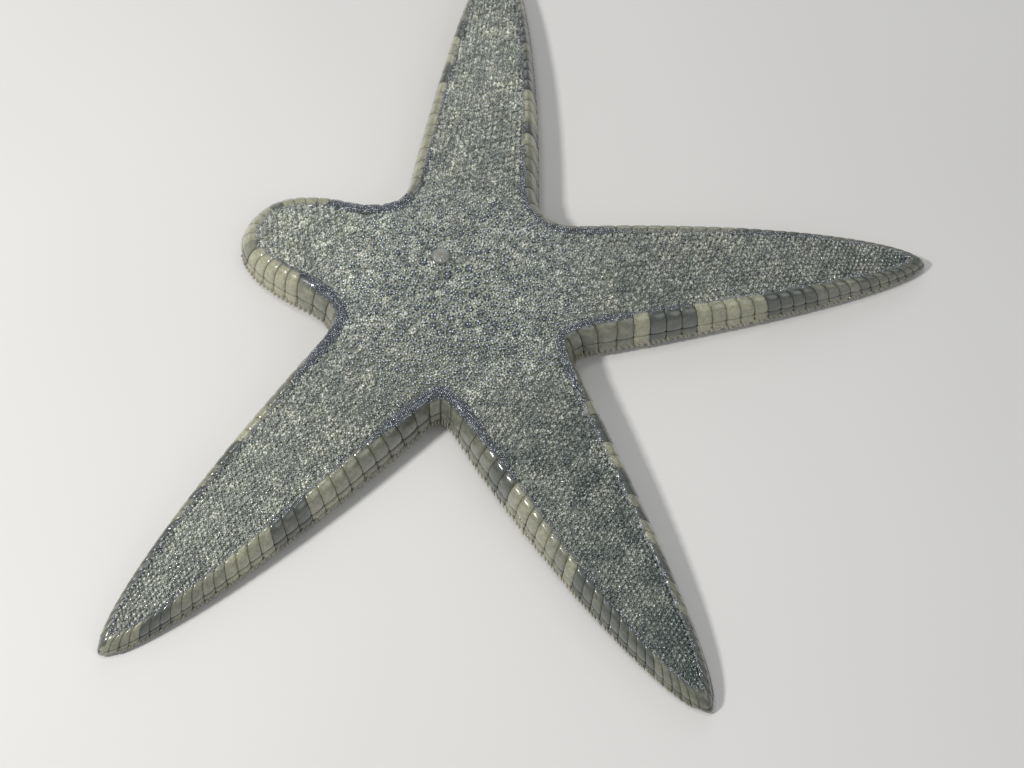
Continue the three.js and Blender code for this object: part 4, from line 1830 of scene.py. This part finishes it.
@dataclass
class Underside:
    """Plates, spines and tube feet along the furrows, scales between them, and the jaws.

    Plates and jaws are given by half their length, width and height, spines by their length and
    radius, and scales by half their width, half their thickness and their length in pitches.
    """

    plan: StarPlan
    ground: Ground
    material: Material
    foot_material: Material
    plate_pitch: float = 1.15
    furrow_side: float = 1.75
    foot_pitch: float = 1.2
    scale_pitch: float = 0.7
    scale_size: tuple[float, float, float] = (0.35, 0.12, 1.04)
    plate_level: float = 0.42
    plate_size: tuple[float, float, float] = (0.5, 0.44, 0.3)
    furrow_spine: tuple[float, float] = (0.8, 0.085)
    side_spine: tuple[float, float] = (0.75, 0.13)
    foot_radius: float = 0.36
    jaw_size: tuple[float, float, float] = (0.95, 0.3, 0.34)
    jaw_level: float = 0.5
    seed: int = 47
    block: Template = Template.turned(((0, -1), (0.7, -0.85), (1, -0.2), (1, 0.3), (0.7, 0.85), (0, 1)), 8)
    spine: Template = Template.turned(((0, 0), (1, 0.05), (0.8, 0.6), (0.35, 0.93), (0, 1)), 6)
    foot: Template = Template.turned(((0, 0), (1, 0.02), (0.75, 0.3), (0.7, 0.6), (0.85, 0.74), (0.6, 0.92),
                                      (0, 1)), 10)
    scale: Template = Template.turned(((0, 0), (0.9, 0.2), (0.8, 0.7), (0, 1)), 7)

    def build(self) -> None:
        """Builds everything under the star."""
        rng = np.random.default_rng(self.seed)
        for arm in self.plan.arms:
            maker, tubes = MeshMaker(), MeshMaker()
            for side in Side:
                self._furrow_plates(maker, arm, side, rng)
                self._feet(tubes, arm, side, rng)
            hand_over(maker.build(f"Furrow_plates_{arm.name}", self.material), Slot.SPINES)
            hand_over(tubes.build(f"Tube_feet_{arm.name}", self.foot_material), Slot.TUBE_FEET)
        self._scales(rng)
        self._jaws(rng)

    def _way(self, arm: Arm, s: Array, t: Array) -> tuple[Array, Array]:
        """Finds the directions outward and to the left at an arm's spots."""
        out = unit(at_height(self.plan.place(arm, s + 0.1, t) - self.plan.place(arm, s, t), 0.0))
        return out, np.cross(UP, out)

    def _furrow_plates(self, maker: MeshMaker, arm: Arm, side: Side, rng: Draws) -> None:
        """Lines one side of a furrow with plates and their spines.

        Args:
            maker: Where they are added.
            arm: The arm.
            side: The side.
            rng: Random draws.
        """
        s = np.arange(3.4, arm.reach - 3.4, self.plate_pitch * 0.92)
        narrow = np.sqrt(np.clip(1 - (s / arm.reach) ** 6, 0.05, 1))
        t = side.value * self.furrow_side * narrow
        middles = at_height(self.plan.place(arm, s, t), self.plate_level)
        out, left = self._way(arm, s, t)
        long, wide, high = self.plate_size
        axes = np.stack((out * long, left * (wide * narrow)[:, None], np.tile(UP * high, (len(s), 1))),
                        axis=1)
        maker.stamp(self.block, middles, axes, tone=rng.uniform(0.8, 1, len(s)))
        for step in range(4):
            spread = (step - 1.5) / 3
            root = middles + out * spread * 0.8 - left * (side.value * 0.3 * narrow)[:, None]
            aim = -left * side.value * 0.75 + out * spread * 0.5 - UP * 0.1
            length, thick = self.furrow_spine
            size = length * narrow[:, None] * rng.uniform(0.85, 1.1, (len(s), 1))
            maker.stamp(self.spine, root, round_axes(unit(aim) * size, thick),
                        tone=rng.uniform(0.85, 1, len(s)))
        for step in range(2):
            root = middles + out * (step - 0.5) * 0.5 + left * (side.value * 0.2 * narrow)[:, None] - UP * 0.1
            aim = unit(left * side.value + out * 0.4 + UP * 0.02)
            length, thick = self.side_spine
            lean = aim * length * narrow[:, None]
            maker.stamp(self.spine, root, round_axes(lean, thick), tone=rng.uniform(0.75, 1, len(s)))

    def _feet(self, maker: MeshMaker, arm: Arm, side: Side, rng: Draws) -> None:
        """Hangs one row of drawn-up tube feet in a furrow.

        Args:
            maker: Where they are added.
            arm: The arm.
            side: The side.
            rng: Random draws.
        """
        s = np.arange(3.2 + 0.3 * side.value, arm.reach - 5.5, self.foot_pitch)
        size = np.clip(1.1 - 0.55 * s / arm.reach, 0.4, 1)
        top = np.minimum(self.plan.furrow_depth, 0.45 * self.plan.rim(arm, s)) + 0.05
        roots = at_height(self.plan.place(arm, s, np.full_like(s, side.value * 0.46)), top)
        ends = self.plan.place(arm, s + rng.normal(0.1, 0.15, len(s)),
                               side.value * rng.uniform(0.2, 0.42, len(s)))
        tips = at_height(ends, 0.0) + UP * (top * rng.uniform(0.28, 0.42, len(s)))[:, None]
        maker.stamp(self.foot, roots, round_axes(tips - roots, self.foot_radius * size))

    def _scales(self, rng: Draws) -> None:
        """Covers the skin between the furrows and the edge plates with small flat spines.

        Args:
            rng: Random draws.
        """
        maker, rim = MeshMaker(), self.plan.outline(2.45)
        broad, thin, long = self.scale_size
        for arm in self.plan.arms:
            for side in Side:
                s, t = (part.ravel() for part in np.meshgrid(np.arange(4, arm.reach - 4, self.scale_pitch),
                                                             np.arange(2.5, 12.0, self.scale_pitch)))
                s = s + (np.round(t / self.scale_pitch) % 2) * self.scale_pitch / 2
                s = s + rng.normal(0, 0.06, len(s))
                on_disc = t / s < math.tan(self.plan.sector / 2) - 0.02
                keep = on_disc & self.plan.inside(self.plan.place(arm, s, t * side.value), rim)
                s, t = s[keep], t[keep] * side.value
                met, places, facing = self.ground.drop(self.plan.place(arm, s, t), upward=True)
                s, t = s[met], t[met]
                out, left = self._way(arm, s, t)
                aim = unit(left * side.value + out * 0.5 + facing * 0.3)
                wide = unit(np.cross(aim, facing))
                length = self.scale_pitch * long * rng.uniform(0.85, 1.1, (len(s), 1))
                axes = np.stack((wide * broad, np.cross(aim, wide) * thin, aim * length), axis=1)
                places = places + UP * 0.05
                maker.stamp(self.scale, places, axes, tone=rng.uniform(0.8, 1, len(s)))
        hand_over(maker.build("Under_scales", self.material), Slot.SPINES)

    def _jaws(self, rng: Draws) -> None:
        """Sets a pair of jaw plates with their spines at each corner of the mouth.

        Args:
            rng: Random draws.
        """
        maker = MeshMaker()
        long, wide, high = self.jaw_size
        for arm in self.plan.arms:
            for side in Side:
                angle = self.plan.sector / 2 - 0.13
                reach = np.array((2.0,))
                s, t = reach * math.cos(angle), reach * math.sin(angle) * side.value
                middle = at_height(self.plan.place(arm, s, t), self.jaw_level)
                inward = unit((self.plan.centre_x, self.plan.centre_y, self.jaw_level) - middle)
                across = np.cross(UP, inward)
                axes = np.stack((inward * long, across * wide, UP[None] * high), axis=1)
                maker.stamp(self.block, middle, axes, tone=0.9)
                for step in range(4):
                    root = middle + inward * (0.85 - 0.28 * step) + UP * 0.02
                    aim = unit(inward * (1 - 0.22 * step) - across * side.value * (0.25 * step) - UP * 0.12)
                    axes = round_axes(aim * (0.62 - 0.04 * step), 0.1)
                    maker.stamp(self.spine, root, axes, tone=rng.uniform(0.85, 1, 1))
        hand_over(maker.build("Jaws", self.material), Slot.MOUTH, "mouth")


# ---- madreporite and arm tips
@dataclass
class Madreporite:
    """The sieve plate: a low round dome with fine grooves that wind out to its rim."""

    low: Vector
    high: Vector
    material: Material
    sides: int = 120
    rings: int = 26
    grooves: int = 15
    groove_depth: float = 0.035

    def build(self) -> None:
        """Builds the dome."""
        middle = (self.low + self.high) / 2 / MM
        radius = (self.high.x - self.low.x) / 2 / MM
        bottom, top = self.low.z / MM, self.high.z / MM
        brim = top - 0.5
        share = np.linspace(0, 1, self.rings)[:, None]
        angle = (np.arange(self.sides) * 2 * math.pi / self.sides)[None]
        out = np.sin(share * math.pi / 2) ** 0.92
        wander = 0.5 * np.sin(5 * share * math.pi + 3 * angle) + 0.3 * np.sin(9 * share + 2 * angle)
        count = self.grooves * (1 + (share > 0.55))
        groove = 0.5 + 0.5 * np.cos(count * angle + wander * 2.2)
        groove = groove ** 2 * smoothstep(share, 0.12, 0.3) * (1 - smoothstep(share, 0.93, 1.0))
        height = brim + (top - brim) * np.cos(share * math.pi / 2) ** 0.8 - self.groove_depth * groove
        x, y = middle.x + radius * out * np.cos(angle), middle.y + radius * out * np.sin(angle)
        dome = np.stack(np.broadcast_arrays(x, y, height), axis=-1)
        skirt = np.stack(np.broadcast_arrays(x[-1:], y[-1:], bottom), axis=-1)
        points = np.concatenate((dome, skirt)).reshape(-1, 3)
        first = np.arange(self.rings * self.sides).reshape(self.rings, -1)
        after = np.roll(first, -1, axis=1)
        quads = np.stack((first, first + self.sides, after + self.sides, after), axis=-1)
        # Painted shade: darker in the grooves and toward the dome's rim.
        ridge = (1 - groove) * (1 - 0.6 * smoothstep(share, 0.5, 1.0))
        core = 1 - smoothstep(share, 0.1, 0.45) + 0 * angle
        on_skirt = ((0, 1), (0, 0))
        maker = MeshMaker()
        maker.add(points, quads=quads, ridge=np.pad(ridge, on_skirt), core=np.pad(core, on_skirt))
        maker.add(np.array(((middle.x, middle.y, bottom),)), ridge=0.0, core=0.0)
        foot = first[-1] + self.sides
        maker.triangles.append(np.stack((foot, np.full(self.sides, len(points)), np.roll(foot, -1)), axis=1))
        piece = maker.build("Madreporite_dome", self.material)
        weld(piece, 0.002)
        hand_over(piece, Slot.MADREPORITE, "madreporite")


@dataclass
class TipPlates:
    """The smooth shield that ends each whole arm, over its eye spot."""

    plan: StarPlan
    material: Material
    length: float = 0.95
    width: float = 0.5
    height: float = 0.42
    shield: Template = Template.ball(20, 7, -0.75)

    def build(self) -> None:
        """Builds the shields."""
        maker = MeshMaker()
        for arm in (arm for arm in self.plan.arms if not arm.healed):
            s = np.array((arm.reach - 1.5,))
            spot = self.plan.place(arm, s, np.zeros(1))
            ahead = self.plan.place(arm, s + 0.2, np.zeros(1)) - spot
            out = unit(at_height(ahead, -0.05))
            left = unit(np.cross(UP, out))
            middle = at_height(spot, self.plan.tip_height * 0.93)
            axes = np.stack((out * self.length, left * self.width, np.cross(out, left) * self.height), axis=1)
            maker.stamp(self.shield, middle, axes, tone=0.2, seam=0.0, crest=0.2)
        hand_over(maker.build("Tip_plates", self.material), Slot.EDGE_PLATES)


# ---- the studio
@dataclass
class Studio:
    """A pale floor, soft lamps and the camera."""

    centre: Vector
    camera_offset: tuple[float, float, float] = (6.6, -84.7, 145.9)
    camera_tilt: float = 27.3
    camera_roll: float = 2.06
    lens: float = 50.1
    floor_size: float = 3.0

    def build(self) -> None:
        """Builds the whole studio."""
        self._floor()
        self._world()
        self._lamp("Key", (-170, -60, 215), 30, 1.9, (1.0, 0.99, 0.97))
        self._lamp("Sky", (-95, 80, 340), 60, 0.35, (0.97, 0.98, 1.0))
        self._lamp("Fill", (260, -160, 260), 260, 0.45, (0.97, 0.98, 1.0))
        self._lamp("Back", (60, 330, 200), 260, 0.4, (1.0, 1.0, 1.0))
        self._camera()

    def _floor(self) -> None:
        """Lays a plain pale floor at the level that the star rests on."""
        half = self.floor_size / 2
        mesh = bpy.data.meshes.new("Floor")
        corners = [(-half, -half, 0), (half, -half, 0), (half, half, 0), (-half, half, 0)]
        mesh.from_pydata(corners, [], [(0, 1, 2, 3)])
        made = bpy.data.materials.new("Floor")
        made.use_nodes = True
        nodes = Nodes(made.node_tree)
        color = nodes.mix(nodes.span(nodes.noise(9.0, 2.0), 0.3, 0.7), (0.72, 0.71, 0.69, 1),
                          (0.76, 0.75, 0.73, 1))
        shader = nodes.add("ShaderNodeBsdfPrincipled", {"Base Color": color, "Roughness": 0.7})
        nodes.add("ShaderNodeOutputMaterial", {"Surface": shader.outputs["BSDF"]})
        mesh.materials.append(made)
        floor = bpy.data.objects.new("Floor", mesh)
        bpy.context.scene.collection.objects.link(floor)

    def _world(self) -> None:
        """Fills the room with plain light."""
        world = bpy.data.worlds.new("Room")
        bpy.context.scene.world = world
        world.use_nodes = True
        nodes = Nodes(world.node_tree)
        background = nodes.add("ShaderNodeBackground", {"Color": (0.95, 0.97, 1.0, 1), "Strength": 0.28})
        nodes.add("ShaderNodeOutputWorld", {"Surface": background.outputs["Background"]})

    def _lamp(self, name: str, offset: tuple[float, float, float], size: float, light: float,
              color: Color) -> None:
        """Hangs a square lamp that looks at the star's middle.

        Args:
            name: Its name.
            offset: Where it hangs from the star's middle, in millimetres.
            size: Its side, in millimetres.
            light: How strongly it lights the floor below it, where 1 is a plain level.
            color: Its colour.
        """
        lamp = bpy.data.lights.new(name, "AREA")
        way = Vector(offset) * MM
        lamp.size, lamp.color = size * MM, color
        lamp.energy = light * math.pi * way.length ** 2
        holder = bpy.data.objects.new(name, lamp)
        holder.location = self.centre + way
        holder.rotation_euler = (-way).to_track_quat("-Z", "Y").to_euler()
        bpy.context.scene.collection.objects.link(holder)

    def _camera(self) -> None:
        """Sets the camera over the star, looking down and a little forward."""
        tilt, roll = math.radians(self.camera_tilt), math.radians(self.camera_roll)
        turned = Matrix.Rotation(tilt, 4, "X") @ Matrix.Rotation(roll, 4, "Z")
        lens = bpy.data.cameras.new("Camera")
        lens.lens, lens.sensor_width = self.lens, 36
        lens.clip_start, lens.clip_end = 0.01, 10
        camera = bpy.data.objects.new("Camera", lens)
        camera.matrix_world = Matrix.Translation(self.centre + Vector(self.camera_offset) * MM) @ turned
        bpy.context.scene.collection.objects.link(camera)
        bpy.context.scene.camera = camera


def main() -> None:
    """Builds the star and its studio."""
    logging.basicConfig(level=logging.INFO, format="%(name)s %(message)s")
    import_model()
    mouth = sum(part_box("mouth"), Vector()) / 2
    sieve_low, sieve_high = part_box("madreporite")
    sieve = (sieve_low + sieve_high) / 2
    plan = StarPlan(mouth.x / MM, mouth.y / MM)
    made = make_materials(Effects())
    skin = Skin(plan, made[SkinFinish])
    ground = Ground.of(skin.build())
    sieve_radius = (sieve_high.x - sieve_low.x) / 2 / MM
    Paxillae(plan, skin, ground, (sieve.x / MM, sieve.y / MM, sieve_radius), made[CoatFinish]).build()
    upper = EdgePlates(plan, made[PlateFinish]).build()
    CrestGranules(plan, Ground.of(*upper), made[GranuleFinish]).build()
    Fringe(plan, made[SpineFinish]).build()
    Underside(plan, ground, made[SpineFinish], made[FootFinish]).build()
    Madreporite(sieve_low, sieve_high, made[SieveFinish]).build()
    TipPlates(plan, made[PlateFinish]).build()
    Studio(Vector((mouth.x, mouth.y, 0))).build()
    bpy.context.scene.view_settings.view_transform = "Standard"


if __name__ == "__main__":
    main()
